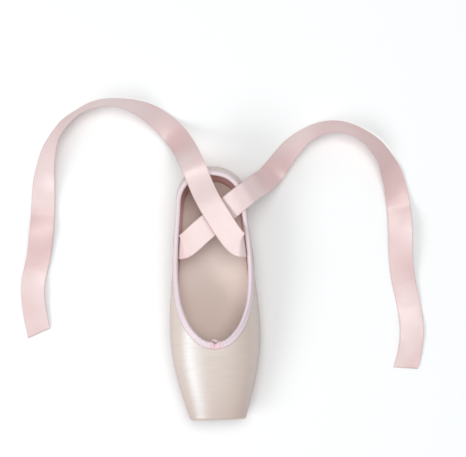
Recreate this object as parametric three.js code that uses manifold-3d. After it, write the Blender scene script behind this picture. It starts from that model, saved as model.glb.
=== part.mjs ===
// A satin pointe shoe, empty and standing on its sole, with its two ankle ribbons lying loose behind it.
// Millimetres. The toe points to -Y and the heel to +Y, and +Z is up. The origin is on the floor, under the middle of
// the shoe's length. "along" is always the distance back from the platform, the flat end of the toe.
import * as THREE from "three";
import Module from "manifold-3d";

const solids = await Module();
solids.setup();

// Driving dimensions of the last
const SHOE_LENGTH = 236;
const PLATFORM_WIDTH = 51;
const PLATFORM_HEIGHT = 25;
const PLATFORM_LEAN = 3; // degrees that the platform's top edge is set back
const PLATFORM_EDGE_RADIUS = 3;
const BALL_WIDTH = 84;
const HEEL_WIDTH = 64;
const INSTEP_HEIGHT = 48; // the last's ridge at the ball, above the floor
const ANKLE_HEIGHT = 86; // the last's ridge over the heel, which sets how far the quarters lean in
const WIDEST_HEIGHT = 18; // where each section is widest
const VAMP_ROUNDNESS = 2.2; // 2 is an ellipse, and more is squarer
const TOE_RISE = 3.5; // the platform's lower edge above the forefoot's underside
const TOE_RISE_LENGTH = 40;
const ARCH_LIFT = 3.5;
const ARCH_START = 96;
const ARCH_END = 188;
const HEEL_ROUNDING = 32; // length over which the heel's outline closes
const HEEL_SQUARENESS = 2.2;
const HEEL_TUCK = 7; // how far the heel's back draws in at its foot
const HEEL_LEAN = 4; // how far it leans in at its top
const HEEL_SHAPING = 55; // length of the heel over which the back's profile fades in

// Driving dimensions of the pieces
const UPPER_WALL = 1.4;
const BOX_WALL = 3; // the stiffened wall round the toes
const BOX_LENGTH = 70; // where the stiffening has faded out
const VAMP_LENGTH = 73; // from the platform to the throat
const THROAT_WIDTH = 64; // across the throat's curve
const THROAT_DEPTH = 38; // from its front to where it is that wide
const SIDE_HEIGHT = 39.5; // the collar above the floor at the waist
const THROAT_SIDE_HEIGHT = 43.5; // beside the throat
const HEEL_HEIGHT = 51; // at the back seam
const CASING_DEPTH = 5;
const CASING_WALL = 0.8;
const OUTSOLE_THICKNESS = 2.2;
const OUTSOLE_BEVEL = 1.2;
const OUTSOLE_START = 20;
const OUTSOLE_END = 223;
const OUTSOLE_BALL_WIDTH = 57;
const OUTSOLE_WAIST_WIDTH = 32;
const OUTSOLE_HEEL_WIDTH = 40;
const LASTING_MARGIN = 6.5; // how far the upper's turned-in edge runs under the outsole
const INSOLE_THICKNESS = 2;
const INSOLE_START = 13;
const INSOLE_END = 222;
const INSOLE_MARGIN = 6.5; // between the insole and the shoe's widest outline
const PLEATS = 14; // folds of the upper under the toe
const PLEAT_DEPTH = 0.7;
const PLEAT_REACH = 22; // length of a fold from the upper's lower edge
const RIBBON_WIDTH = 22;
const RIBBON_THICKNESS = 0.6;
const TAB_ALONG = 162; // middle of a ribbon's sewn end
const TAB_TOP = 33;
const TAB_HEIGHT = 15;
const WALL_TAPER = 0.09; // how much the wall draws in towards the heel beside the tabs, per millimetre
const KNOT_LENGTH = 7;
const KNOT_THICKNESS = 3;
const FIT_GAP = 0.3; // between neighbouring pieces
const BED_GAP = 0.45; // under the insole, where both faces are curved

// How finely the surfaces are divided
const RIBS_PER_SIDE = 34;
const ROWS = 21;
const RIBBON_STEPS = 72;

// The last's sections, from the platform to the back of the heel. at: share of the shoe's length. ball: share of the
// way from the platform's width to the ball's. heel: share of the way from the ball's width to the heel's. vamp: share
// of the ridge's climb from the platform to the instep. ankle: share of its climb from the instep to the ankle.
// square: how square the lower corner is, across and up.
const SECTIONS = [
  { at: 0.0, ball: 0.0, heel: 0, vamp: 0, ankle: 0, square: 2.3 },
  { at: 0.06, ball: 0.262, heel: 0, vamp: 0.247, ankle: 0, square: 2.5 },
  { at: 0.13, ball: 0.543, heel: 0, vamp: 0.506, ankle: 0, square: 2.8 },
  { at: 0.2, ball: 0.773, heel: 0, vamp: 0.724, ankle: 0, square: 3.1 },
  { at: 0.27, ball: 0.929, heel: 0, vamp: 0.906, ankle: 0, square: 3.3 },
  { at: 0.355, ball: 1, heel: 0.0, vamp: 1, ankle: 0.037, square: 3.4 },
  { at: 0.44, ball: 1, heel: 0.085, vamp: 1, ankle: 0.142, square: 3.4 },
  { at: 0.53, ball: 1, heel: 0.25, vamp: 1, ankle: 0.29, square: 3.2 },
  { at: 0.63, ball: 1, heel: 0.45, vamp: 1, ankle: 0.48, square: 3.0 },
  { at: 0.72, ball: 1, heel: 0.66, vamp: 1, ankle: 0.647, square: 3.0 },
  { at: 0.8, ball: 1, heel: 0.86, vamp: 1, ankle: 0.784, square: 3.1 },
  { at: 0.87, ball: 1, heel: 0.975, vamp: 1, ankle: 0.88, square: 3.2 },
  { at: 1.0, ball: 1, heel: 1.0, vamp: 1, ankle: 1.0, square: 3.2 },
];

// The collar's height above the floor behind the throat. at: share of the way from the throat to the back seam.
// side, heel: shares of the way from the throat's side height to the waist's, and from there to the heel's.
const COLLAR = [
  { at: 0.0, side: 0.0, heel: 0 },
  { at: 0.25, side: 0.3, heel: 0 },
  { at: 0.42, side: 0.85, heel: 0 },
  { at: 0.55, side: 1, heel: 0.03 },
  { at: 0.7, side: 1, heel: 0.22 },
  { at: 0.83, side: 1, heel: 0.55 },
  { at: 0.93, side: 1, heel: 0.86 },
  { at: 1.0, side: 1, heel: 1.0 },
];

// The throat's curve. across: share of half the throat's width. back: share of the throat's depth.
const THROAT = [
  { across: 0.0, back: 0.0 },
  { across: 0.22, back: 0.035 },
  { across: 0.45, back: 0.145 },
  { across: 0.625, back: 0.3 },
  { across: 0.76, back: 0.465 },
  { across: 0.88, back: 0.69 },
  { across: 1.0, back: 1.0 },
  { across: 1.1, back: 1.36 },
];

// The outsole's width. at: share of its length. waist: share of the way from the ball's width to the waist's.
// heel: share of the way from the waist's width to the heel's.
const OUTSOLE = [
  { at: 0.0, waist: 0.42, heel: 0 },
  { at: 0.13, waist: 0.17, heel: 0 },
  { at: 0.26, waist: 0.02, heel: 0 },
  { at: 0.36, waist: 0.03, heel: 0 },
  { at: 0.48, waist: 0.45, heel: 0 },
  { at: 0.6, waist: 0.92, heel: 0 },
  { at: 0.68, waist: 1, heel: 0.12 },
  { at: 0.8, waist: 1, heel: 0.62 },
  { at: 0.92, waist: 1, heel: 0.98 },
  { at: 1.0, waist: 1, heel: 1.0 },
];

// The loose run of each ribbon, from its sewn end to its cut end, in millimetres. lift: height of the ribbon's lower
// edge. roll: the angle in degrees by which its face is turned out of the level. The right-hand one crosses on top.
const RIBBON_RIGHT = [
  { x: 32.2, y: 44, lift: 28.5, roll: 0 },
  { x: 31.4, y: 44, lift: 32.5, roll: 0 },
  { x: 30.5, y: 44, lift: 37, roll: 0 },
  { x: 29.5, y: 44, lift: 41.5, roll: 0 },
  { x: 27, y: 44.2, lift: 44.6, roll: 0 },
  { x: 23.4, y: 46, lift: 46, roll: 0 },
  { x: 18.4, y: 51.5, lift: 46.2, roll: 0 },
  { x: 12.5, y: 60.5, lift: 46.1, roll: 0 },
  { x: 6, y: 71.5, lift: 46.1, roll: 0 },
  { x: -1, y: 84, lift: 46.9, roll: 0 },
  { x: -6.5, y: 96, lift: 50, roll: 0 },
  { x: -10.5, y: 106.5, lift: 52.5, roll: 0 },
  { x: -14, y: 116, lift: 52.2, roll: 0 },
  { x: -17.5, y: 124, lift: 46, roll: 0 },
  { x: -20.5, y: 130.5, lift: 34, roll: 0 },
  { x: -24.5, y: 138, lift: 19, roll: -3 },
  { x: -31.5, y: 148.5, lift: 6, roll: -10 },
  { x: -43, y: 161, lift: 0.8, roll: -24 },
  { x: -60, y: 173, lift: 0.4, roll: -44 },
  { x: -81, y: 180, lift: 0.4, roll: -60 },
  { x: -103, y: 180, lift: 0.4, roll: -68 },
  { x: -124, y: 171, lift: 0.4, roll: -68 },
  { x: -141, y: 155, lift: 0.4, roll: -60 },
  { x: -151, y: 134, lift: 0.4, roll: -44 },
  { x: -156, y: 110, lift: 0.4, roll: -20 },
  { x: -158, y: 86, lift: 1.5, roll: -4 },
  { x: -160, y: 62, lift: 4.5, roll: 5 },
  { x: -164, y: 38, lift: 2.5, roll: 3 },
  { x: -169.5, y: 15, lift: 2.2, roll: -3 },
  { x: -169.5, y: -9, lift: 1.4, roll: -4 },
  { x: -166, y: -33, lift: 0.4, roll: 0 },
];
const RIBBON_LEFT = [
  { x: -32.2, y: 44, lift: 28.5, roll: 0 },
  { x: -31.5, y: 44, lift: 32.5, roll: 0 },
  { x: -30.7, y: 44, lift: 36, roll: 0 },
  { x: -28.9, y: 44, lift: 38.9, roll: 0 },
  { x: -25.2, y: 45, lift: 40.4, roll: 0 },
  { x: -19.5, y: 49, lift: 40.6, roll: 0 },
  { x: -12, y: 55.5, lift: 40.4, roll: 0 },
  { x: -4, y: 62, lift: 40.2, roll: 0 },
  { x: 4, y: 68.5, lift: 40.2, roll: 0 },
  { x: 12, y: 75, lift: 41, roll: 0 },
  { x: 19, y: 80.5, lift: 43.9, roll: -5 },
  { x: 25.5, y: 85.5, lift: 46.2, roll: -12 },
  { x: 31, y: 89.5, lift: 46.6, roll: -15 },
  { x: 36, y: 93, lift: 45, roll: -14 },
  { x: 41, y: 96.5, lift: 39, roll: -10 },
  { x: 45.5, y: 99.5, lift: 29, roll: -5 },
  { x: 50.5, y: 103, lift: 17, roll: 2 },
  { x: 58.5, y: 110.5, lift: 5, roll: 12 },
  { x: 69, y: 124, lift: 0.8, roll: 26 },
  { x: 84, y: 139.5, lift: 0.4, roll: 42 },
  { x: 104, y: 150, lift: 0.4, roll: 54 },
  { x: 126, y: 150.5, lift: 0.4, roll: 58 },
  { x: 146, y: 141, lift: 0.4, roll: 54 },
  { x: 161, y: 124.5, lift: 0.4, roll: 42 },
  { x: 170.5, y: 103.5, lift: 0.4, roll: 22 },
  { x: 175, y: 80.5, lift: 1.5, roll: 4 },
  { x: 176.5, y: 57, lift: 4, roll: -10 },
  { x: 176, y: 33.5, lift: 3, roll: -14 },
  { x: 177.5, y: 10, lift: 1, roll: -8 },
  { x: 181.5, y: -13, lift: 0.4, roll: -2 },
  { x: 184.5, y: -36.5, lift: 1.2, roll: 3 },
  { x: 182.5, y: -59, lift: 1.2, roll: 2 },
  { x: 177.5, y: -77, lift: 0.4, roll: 0 },
];

const half = (size) => size / 2;
const mix = (from, to, share) => from + (to - from) * share;
const clamp = (value, low, high) => Math.min(high, Math.max(low, value));
const radians = (degrees) => (degrees * Math.PI) / 180;

// Eases from 0 to 1 as value goes from start to end.
function ease(value, start, end) {
  const share = clamp((value - start) / (end - start), 0, 1);
  return share * share * (3 - 2 * share);
}

// The larger of two values, rounded where they meet over about the given width.
function roundedMax(a, b, width) {
  const near = Math.max(width - Math.abs(a - b), 0);
  return Math.max(a, b) + (near * near) / (4 * width);
}

// The smoothest curve through a table's points, as a function: a natural cubic spline, straight beyond its ends.
function curveThrough(xs, ys) {
  const last = xs.length - 1;
  const bend = new Array(xs.length).fill(0);
  const carry = new Array(xs.length).fill(0);
  for (let i = 1; i < last; i++) {
    const share = (xs[i] - xs[i - 1]) / (xs[i + 1] - xs[i - 1]);
    const turn = (ys[i + 1] - ys[i]) / (xs[i + 1] - xs[i]) - (ys[i] - ys[i - 1]) / (xs[i] - xs[i - 1]);
    const pivot = share * bend[i - 1] + 2;
    bend[i] = (share - 1) / pivot;
    carry[i] = ((6 * turn) / (xs[i + 1] - xs[i - 1]) - share * carry[i - 1]) / pivot;
  }
  for (let i = last - 1; i > 0; i--) bend[i] = bend[i] * bend[i + 1] + carry[i];
  const inside = (x) => {
    let i = 0;
    while (i < last - 1 && x > xs[i + 1]) i++;
    const width = xs[i + 1] - xs[i];
    const b = (x - xs[i]) / width;
    const a = 1 - b;
    const bulge = ((a * a * a - a) * bend[i] + (b * b * b - b) * bend[i + 1]) * width * width;
    return a * ys[i] + b * ys[i + 1] + bulge / 6;
  };
  const slopeAt = (x, step) => (inside(x + step) - inside(x)) / step;
  return (x) => {
    if (x < xs[0]) return ys[0] + (x - xs[0]) * slopeAt(xs[0], 0.001);
    if (x > xs[last]) return ys[last] + (x - xs[last]) * slopeAt(xs[last], -0.001);
    return inside(x);
  };
}

// The crossing point of a rising function, between a place where it is negative and one where it is positive.
function crossing(rising, low, high) {
  for (let i = 0; i < 44; i++) {
    const middle = (low + high) / 2;
    if (rising(middle) < 0) low = middle;
    else high = middle;
  }
  return (low + high) / 2;
}

// The last

const UNDERSIDE = OUTSOLE_THICKNESS + FIT_GAP; // the upper's underside where the sole touches the floor
const PLATFORM_FOOT = UNDERSIDE + TOE_RISE;
const PLATFORM_TOP = PLATFORM_FOOT + PLATFORM_HEIGHT;

const sectionPlaces = SECTIONS.map((row) => row.at * SHOE_LENGTH);
const sideAt = curveThrough(
  sectionPlaces,
  SECTIONS.map((row) => half(mix(mix(PLATFORM_WIDTH, BALL_WIDTH, row.ball), HEEL_WIDTH, row.heel))),
);
const ridgeAt = curveThrough(
  sectionPlaces,
  SECTIONS.map((row) => mix(mix(PLATFORM_TOP, INSTEP_HEIGHT, row.vamp), ANKLE_HEIGHT, row.ankle)),
);
const squareAt = curveThrough(
  sectionPlaces,
  SECTIONS.map((row) => row.square),
);

// How far the sole is off the floor: it rises to the toe and bridges the arch.
function soleLift(along) {
  const toe = Math.max(1 - along / TOE_RISE_LENGTH, 0);
  const arch = clamp((along - ARCH_START) / (ARCH_END - ARCH_START), 0, 1);
  return TOE_RISE * toe * toe + ARCH_LIFT * Math.sin(Math.PI * arch) ** 2;
}

// How far into the heel's rounding a place is: 0 in front of it and 1 at the furthest point back.
const heelShare = (along) => Math.max((along - (SHOE_LENGTH - HEEL_ROUNDING)) / HEEL_ROUNDING, 0);

// Half the last's width where its section has shrunk to a share of its size, drawn in again by the heel's rounding.
function widthOfShare(along, share) {
  const left = Math.max(share ** HEEL_SQUARENESS - heelShare(along) ** HEEL_SQUARENESS, 0);
  return sideAt(along) * left ** (1 / HEEL_SQUARENESS);
}
const halfWidth = (along) => widthOfShare(along, 1);

// The share of the widest outline that passes through a place.
function shareAt(x, along) {
  const across = (Math.abs(x) / sideAt(along)) ** HEEL_SQUARENESS;
  return (across + heelShare(along) ** HEEL_SQUARENESS) ** (1 / HEEL_SQUARENESS);
}

// How far the heel's back lies in front of its furthest point at a height.
function heelSetback(z) {
  const below = clamp((WIDEST_HEIGHT - z) / (WIDEST_HEIGHT - UNDERSIDE), 0, 1);
  const above = Math.max((z - WIDEST_HEIGHT) / (HEEL_HEIGHT - WIDEST_HEIGHT), 0);
  return HEEL_TUCK * below ** 2.4 + HEEL_LEAN * above ** 1.6;
}

// The place on the unshaped last that the heel's profile brings to this one.
function unshaped(along, z) {
  return along + heelSetback(z) * ease(along, SHOE_LENGTH - HEEL_SHAPING, SHOE_LENGTH - HEEL_ROUNDING / 2);
}

// Positive outside the last and negative inside, in millimetres near its surface. reach moves the platform forward.
function outside(x, along, z, reach = 0) {
  const place = unshaped(along, z);
  const above = z > WIDEST_HEIGHT;
  const bottom = UNDERSIDE + soleLift(place);
  const height = above ? ridgeAt(place) - WIDEST_HEIGHT : WIDEST_HEIGHT - bottom;
  const across = above ? VAMP_ROUNDNESS : squareAt(place) + 0.4;
  const upright = above ? VAMP_ROUNDNESS : squareAt(place);
  const rise = Math.abs(z - WIDEST_HEIGHT);
  const size = Math.max(shareAt(x, place) ** across + (rise / height) ** upright, 1e-9);
  const far = Math.hypot(x, rise, heelShare(place) * HEEL_ROUNDING);
  const section = far * (1 - size ** (-2 / (across + upright)));
  const platform = (z - PLATFORM_FOOT) * Math.tan(radians(PLATFORM_LEAN)) - along - reach;
  return roundedMax(section, platform, PLATFORM_EDGE_RADIUS * 1.17);
}

// The last's outward direction at a point of its surface.
function outward(point) {
  const step = 0.05;
  const slope = (dx, da, dz) =>
    outside(point.x + dx, point.along + da, point.z + dz) - outside(point.x - dx, point.along - da, point.z - dz);
  return new THREE.Vector3(slope(step, 0, 0), slope(0, step, 0), slope(0, 0, step)).normalize();
}

// The height of the last's underside over a place, and that of a face at a distance from it.
function undersideAt(x, along) {
  const heightAt = (place) => {
    const square = squareAt(place);
    const share = Math.min(shareAt(x, place), 0.999);
    return mix(WIDEST_HEIGHT, UNDERSIDE + soleLift(place), (1 - share ** (square + 0.4)) ** (1 / square));
  };
  return heightAt(unshaped(along, heightAt(unshaped(along, heightAt(along)))));
}
function besideUnderside(x, along, distance) {
  const step = 0.1;
  const across = (undersideAt(x + step, along) - undersideAt(x - step, along)) / (2 * step);
  const lengthways = (undersideAt(x, along + step) - undersideAt(x, along - step)) / (2 * step);
  return undersideAt(x, along) + distance * Math.hypot(1, across, lengthways);
}

// Half the last's width at a height above its widest level.
function sideAtHeight(along, z) {
  const place = unshaped(along, z);
  const rise = clamp((z - WIDEST_HEIGHT) / (ridgeAt(place) - WIDEST_HEIGHT), 0, 1);
  return widthOfShare(place, (1 - rise ** VAMP_ROUNDNESS) ** (1 / VAMP_ROUNDNESS));
}

// The collar and the lower edge, seen from above

const SPINE_FRONT = VAMP_LENGTH + 22; // ribs fan out from here round the toe
const SPINE_BACK = SHOE_LENGTH - 40; // and from here round the heel
const SPINE_HEIGHT = WIDEST_HEIGHT + 1;

const throatAt = curveThrough(
  THROAT.map((row) => row.across * half(THROAT_WIDTH)),
  THROAT.map((row) => VAMP_LENGTH + row.back * THROAT_DEPTH),
);
const collarEnd = SHOE_LENGTH - HEEL_LEAN;
const collarAt = curveThrough(
  COLLAR.map((row) => mix(VAMP_LENGTH, collarEnd, row.at)),
  COLLAR.map((row) => mix(mix(THROAT_SIDE_HEIGHT, SIDE_HEIGHT, row.side), HEEL_HEIGHT, row.heel)),
);
// Positive outside the opening at the collar, and negative inside it.
function outsideCollar(x, along) {
  const throat = throatAt(Math.abs(x)) - along;
  const z = collarAt(along);
  const place = unshaped(along, z);
  const rise = clamp((z - WIDEST_HEIGHT) / (ridgeAt(place) - WIDEST_HEIGHT), 0, 1);
  const share = (1 - rise ** VAMP_ROUNDNESS) ** (1 / VAMP_ROUNDNESS);
  const side = sideAt(place) * (shareAt(x, place) - share);
  return roundedMax(throat, side, 3);
}
// The height of the last's surface over a place near the collar.
function collarHeight(x, along) {
  const fromHeight = collarAt(along);
  const rise = (1 - Math.min(shareAt(x, along), 1) ** VAMP_ROUNDNESS) ** (1 / VAMP_ROUNDNESS);
  const fromPlace = mix(WIDEST_HEIGHT, ridgeAt(along), rise);
  return mix(fromPlace, fromHeight, ease(along, VAMP_LENGTH + THROAT_DEPTH * 0.5, VAMP_LENGTH + THROAT_DEPTH * 1.3));
}

const outsoleWidthAt = curveThrough(
  OUTSOLE.map((row) => mix(OUTSOLE_START, OUTSOLE_END, row.at)),
  OUTSOLE.map((row) => mix(mix(OUTSOLE_BALL_WIDTH, OUTSOLE_WAIST_WIDTH, row.waist), OUTSOLE_HEEL_WIDTH, row.heel)),
);
// Half the outsole's width, with rounded ends, drawn in all round by inset.
function outsoleHalf(along, inset = 0) {
  const fromFront = clamp((along - OUTSOLE_START - inset) / half(outsoleWidthAt(OUTSOLE_START)), 0, 1);
  const fromBack = clamp((OUTSOLE_END - inset - along) / half(OUTSOLE_HEEL_WIDTH), 0, 1);
  const front = (1 - (1 - fromFront) ** 2.3) ** (1 / 2.3);
  const back = (1 - (1 - fromBack) ** 2.3) ** (1 / 2.3);
  return Math.max(half(outsoleWidthAt(along)) - inset, 0) * front * back;
}

// The ribs of the upper: each is a slice of the last through the spine, from the lower edge round to the collar

// Places on half the last's widest outline, from the middle of the platform to the back of the heel, closer together
// round the toe and the heel.
function outlinePlaces(count) {
  const steps = 600;
  const points = [];
  for (let i = 0; i <= 40; i++) points.push({ x: (sideAt(0) * i) / 40, along: 0 });
  for (let i = 1; i <= steps; i++) {
    const along = SHOE_LENGTH * Math.sin((half(Math.PI) * i) / steps);
    points.push({ x: halfWidth(along), along });
  }
  const travelled = [0];
  for (let i = 1; i < points.length; i++) {
    const step = Math.hypot(points[i].x - points[i - 1].x, points[i].along - points[i - 1].along);
    const toe = 1.1 * Math.exp(-((points[i].along / 55) ** 2));
    const heel = 0.7 * Math.exp(-(((SHOE_LENGTH - points[i].along) / 30) ** 2));
    travelled.push(travelled[i - 1] + step * (1 + toe + heel));
  }
  const found = [];
  for (let i = 0; i <= count; i++) {
    const target = (travelled[travelled.length - 1] * i) / count;
    let k = travelled.findIndex((value) => value >= target - 1e-9);
    k = Math.max(k, 1);
    const share = (target - travelled[k - 1]) / (travelled[k] - travelled[k - 1]);
    found.push({
      x: mix(points[k - 1].x, points[k].x, share),
      along: mix(points[k - 1].along, points[k].along, share),
    });
  }
  return found;
}

function spinePlace(along) {
  const front = roundedMax(along, SPINE_FRONT, 24);
  return -roundedMax(-front, -SPINE_BACK, 24);
}

// One rib: its plane, the angles at which it meets the lower edge and the collar, and the last's surface at an angle.
function ribThrough(place) {
  const centre = spinePlace(place.along);
  const away = new THREE.Vector2(place.x, place.along - centre).normalize();
  const level = (distance) => [away.x * distance, centre + away.y * distance];
  const lower = crossing(
    (distance) => {
      const [x, along] = level(distance);
      return Math.abs(x) - outsoleHalf(along, LASTING_MARGIN);
    },
    0,
    110,
  );
  const upper = crossing((distance) => outsideCollar(...level(distance)), 0, 60);
  const surface = (angle, reach = 0) => {
    const flat = Math.cos(angle);
    const up = Math.sin(angle);
    const far = crossing((d) => outside(...level(d * flat), SPINE_HEIGHT + d * up, reach), 0, 140);
    const [x, along] = level(far * flat);
    return { x, along, z: SPINE_HEIGHT + far * up };
  };
  const start = -Math.atan2(SPINE_HEIGHT - undersideAt(...level(lower)), lower);
  const end = Math.atan2(collarHeight(...level(upper)) - SPINE_HEIGHT, upper);
  return { surface, start, end };
}

const apart = (a, b) => Math.hypot(a.x - b.x, a.along - b.along, a.z - b.z);

// Angles for a rib's rows: evenly spaced along the surface, with the last one the casing's depth below the collar.
function rowAngles(rib) {
  const samples = 150;
  const angles = Array.from({ length: samples + 1 }, (_, i) => mix(rib.start, rib.end, i / samples));
  const points = angles.map((angle) => rib.surface(angle));
  const travelled = [0];
  for (let i = 1; i <= samples; i++) travelled.push(travelled[i - 1] + apart(points[i], points[i - 1]));
  const total = travelled[samples];
  const angleAt = (distance) => {
    const k = clamp(
      travelled.findIndex((value) => value >= distance),
      1,
      samples,
    );
    const share = (distance - travelled[k - 1]) / (travelled[k] - travelled[k - 1]);
    return mix(angles[k - 1], angles[k], clamp(share, 0, 1));
  };
  const rows = [];
  for (let i = 0; i < ROWS; i++) rows.push(angleAt(((total - CASING_DEPTH) * i) / (ROWS - 1)));
  rows.push(rib.end);
  return { rows, angleAt, total };
}

// The wall's thickness, which grows towards the toe.
const wallAt = (along) => mix(BOX_WALL, UPPER_WALL, ease(along, BOX_LENGTH * 0.35, BOX_LENGTH));

const toVector = (point) => new THREE.Vector3(point.x, point.along - half(SHOE_LENGTH), point.z);

// Solids

// A closed solid through rings of points, which all have the same number of points. A closed row of rings makes a loop.
function loft(rings, closed = false) {
  const size = rings[0].length;
  const positions = rings.flat().flatMap((p) => [p.x, p.y, p.z]);
  const index = [];
  const last = closed ? rings.length : rings.length - 1;
  for (let i = 0; i < last; i++) {
    const here = i * size;
    const next = ((i + 1) % rings.length) * size;
    for (let k = 0; k < size; k++) {
      const a = here + k;
      const b = here + ((k + 1) % size);
      const c = next + ((k + 1) % size);
      const d = next + k;
      const across = (p, q) =>
        Math.hypot(...[0, 1, 2].map((axis) => positions[3 * p + axis] - positions[3 * q + axis]));
      if (across(a, c) < across(b, d)) index.push(a, b, c, a, c, d);
      else index.push(a, b, d, b, c, d);
    }
  }
  if (!closed) {
    const end = (rings.length - 1) * size;
    const flat = capTriangles(rings[0]);
    for (const [a, b, c] of flat) index.push(c, b, a);
    for (const [a, b, c] of capTriangles(rings[rings.length - 1])) index.push(end + a, end + b, end + c);
  }
  if (signedVolume(positions, index) < 0) {
    for (let i = 0; i < index.length; i += 3) [index[i], index[i + 1]] = [index[i + 1], index[i]];
  }
  const geometry = new THREE.BufferGeometry();
  geometry.setAttribute("position", new THREE.Float32BufferAttribute(positions, 3));
  geometry.setIndex(index);
  return geometry;
}

// Triangles that fill a flat ring, in the ring's own order.
function capTriangles(ring) {
  const centre = ring.reduce((sum, p) => sum.add(p), new THREE.Vector3()).divideScalar(ring.length);
  const normal = new THREE.Vector3();
  ring.forEach((p, i) => {
    const q = ring[(i + 1) % ring.length];
    normal.add(new THREE.Vector3().crossVectors(p.clone().sub(centre), q.clone().sub(centre)));
  });
  normal.normalize();
  const side = ring[0].clone().sub(centre);
  side.addScaledVector(normal, -side.dot(normal)).normalize();
  const up = new THREE.Vector3().crossVectors(normal, side);
  const flat = ring.map((p) => {
    const from = p.clone().sub(centre);
    return new THREE.Vector2(from.dot(side), from.dot(up));
  });
  return THREE.ShapeUtils.triangulateShape(flat, []);
}

function signedVolume(positions, index) {
  const corner = (i) => new THREE.Vector3().fromArray(positions, 3 * i);
  let total = 0;
  for (let i = 0; i < index.length; i += 3) {
    total += corner(index[i]).dot(corner(index[i + 1]).cross(corner(index[i + 2])));
  }
  return total / 6;
}

function toSolid(geometry) {
  return new solids.Manifold(
    new solids.Mesh({
      numProp: 3,
      vertProperties: new Float32Array(geometry.attributes.position.array),
      triVerts: new Uint32Array(geometry.index.array),
    }),
  );
}

function toGeometry(solid) {
  const mesh = solid.getMesh();
  const geometry = new THREE.BufferGeometry();
  geometry.setAttribute("position", new THREE.BufferAttribute(mesh.vertProperties, 3));
  geometry.setIndex(new THREE.BufferAttribute(mesh.triVerts, 1));
  return geometry;
}

// All ribs of the shoe, once round from the toe's middle, with the left side mirrored from the right.
function allRibs() {
  const right = outlinePlaces(RIBS_PER_SIDE).map((place, number) => {
    const rib = ribThrough(place);
    const { rows, angleAt, total } = rowAngles(rib);
    return { rib, rows, angleAt, total, number };
  });
  const left = right.slice(1, -1).reverse();
  return [...right.map((entry) => ({ ...entry, side: 1 })), ...left.map((entry) => ({ ...entry, side: -1 }))];
}
const ribs = allRibs();

const mirrored = (point, side) => ({ ...point, x: point.x * side });

// A point of the last moved out along its outward direction.
function movedOut(point, distance) {
  const normal = outward(point);
  return {
    x: point.x + normal.x * distance,
    along: point.along + normal.y * distance,
    z: point.z + normal.z * distance,
  };
}

// Every second rib is pressed in under the toe, which folds the upper into its pleats.
function pleated(point, number, distance) {
  const folded = number % 2 === 1 && number < PLEATS;
  const underneath = ease(UNDERSIDE + TOE_RISE + 5 - point.z, 0, 3) * ease(PLEAT_REACH - distance, 0, 8);
  return folded ? movedOut(point, -PLEAT_DEPTH * underneath) : point;
}

const NOSE = 3; // the upper's outside is made this much longer, then cut off flat

function upperShell() {
  const rings = ribs.map(({ rib, rows, number, side }) => {
    const first = rib.surface(rows[0]);
    const outer = rows.map((angle) => {
      const point = rib.surface(angle, NOSE);
      return pleated(point, number, apart(point, first));
    });
    const inner = rows.map((angle) => {
      const point = rib.surface(angle);
      return movedOut(point, -wallAt(point.along));
    });
    return [...outer, ...inner.reverse()].map((point) => toVector(mirrored(point, side)));
  });
  const cutter = new THREE.BoxGeometry(SHOE_LENGTH, SHOE_LENGTH, SHOE_LENGTH);
  cutter.translate(0, -half(SHOE_LENGTH), 0);
  cutter.rotateX(-radians(PLATFORM_LEAN));
  cutter.translate(0, -half(SHOE_LENGTH), PLATFORM_FOOT);
  return toGeometry(toSolid(loft(rings, true)).subtract(toSolid(welded(cutter))));
}

// A box's corners, which three.js keeps apart for its flat faces, joined into one closed surface.
function welded(geometry) {
  const places = new Map();
  const points = [];
  const index = [];
  for (const i of geometry.index.array) {
    const point = [0, 1, 2].map((axis) => geometry.attributes.position.array[3 * i + axis]);
    const key = point.map((value) => value.toFixed(4)).join();
    if (!places.has(key)) places.set(key, points.push(point) - 1);
    index.push(places.get(key));
  }
  const merged = new THREE.BufferGeometry();
  merged.setAttribute("position", new THREE.Float32BufferAttribute(points.flat(), 3));
  merged.setIndex(index);
  return merged;
}

// The casing is a folded strip over the upper's top edge: it follows each rib's collar end.
function toplineBinding() {
  const rings = ribs.map(({ rib, angleAt, total, side }) => {
    const rim = rib.surface(rib.end);
    const low = rib.surface(angleAt(total - CASING_DEPTH));
    const wall = wallAt(rim.along);
    const down = toVector(low).sub(toVector(rim)).normalize();
    const at = (point, depth, distance) => {
      const moved = toVector(movedOut(point, distance)).addScaledVector(down, depth);
      return new THREE.Vector3(moved.x * side, moved.y, moved.z);
    };
    const outerFace = FIT_GAP + CASING_WALL;
    const innerFace = -wall - FIT_GAP - CASING_WALL;
    return [
      at(low, 0, outerFace),
      at(rim, 0.2, outerFace),
      at(rim, -FIT_GAP - CASING_WALL, -half(wall)),
      at(rim, 0.2, innerFace),
      at(low, 0, innerFace),
      at(low, 0, -wall - FIT_GAP),
      at(rim, -FIT_GAP, -wall - FIT_GAP),
      at(rim, -FIT_GAP, FIT_GAP),
      at(low, 0, FIT_GAP),
    ];
  });
  return loft(rings, true);
}

// Places from one end of a plate to the other, closer together at its round ends.
function plateStations(start, end, count) {
  return Array.from({ length: count + 1 }, (_, i) => mix(start, end, half(1 - Math.cos((Math.PI * i) / count))));
}

// A plate across the shoe: halves and heights of its lower and upper faces at each station.
function plate(stations, lowerHalf, upperHalf, lowerHeight, upperHeight, divisions) {
  const rings = stations.map((along) => {
    const ring = [];
    for (let i = 0; i <= divisions; i++) {
      const x = lowerHalf(along) * mix(-1, 1, i / divisions);
      ring.push(toVector({ x, along, z: lowerHeight(x, along) }));
    }
    for (let i = 0; i <= divisions; i++) {
      const x = upperHalf(along) * mix(1, -1, i / divisions);
      ring.push(toVector({ x, along, z: upperHeight(x, along) }));
    }
    return ring;
  });
  return loft(rings);
}

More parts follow.
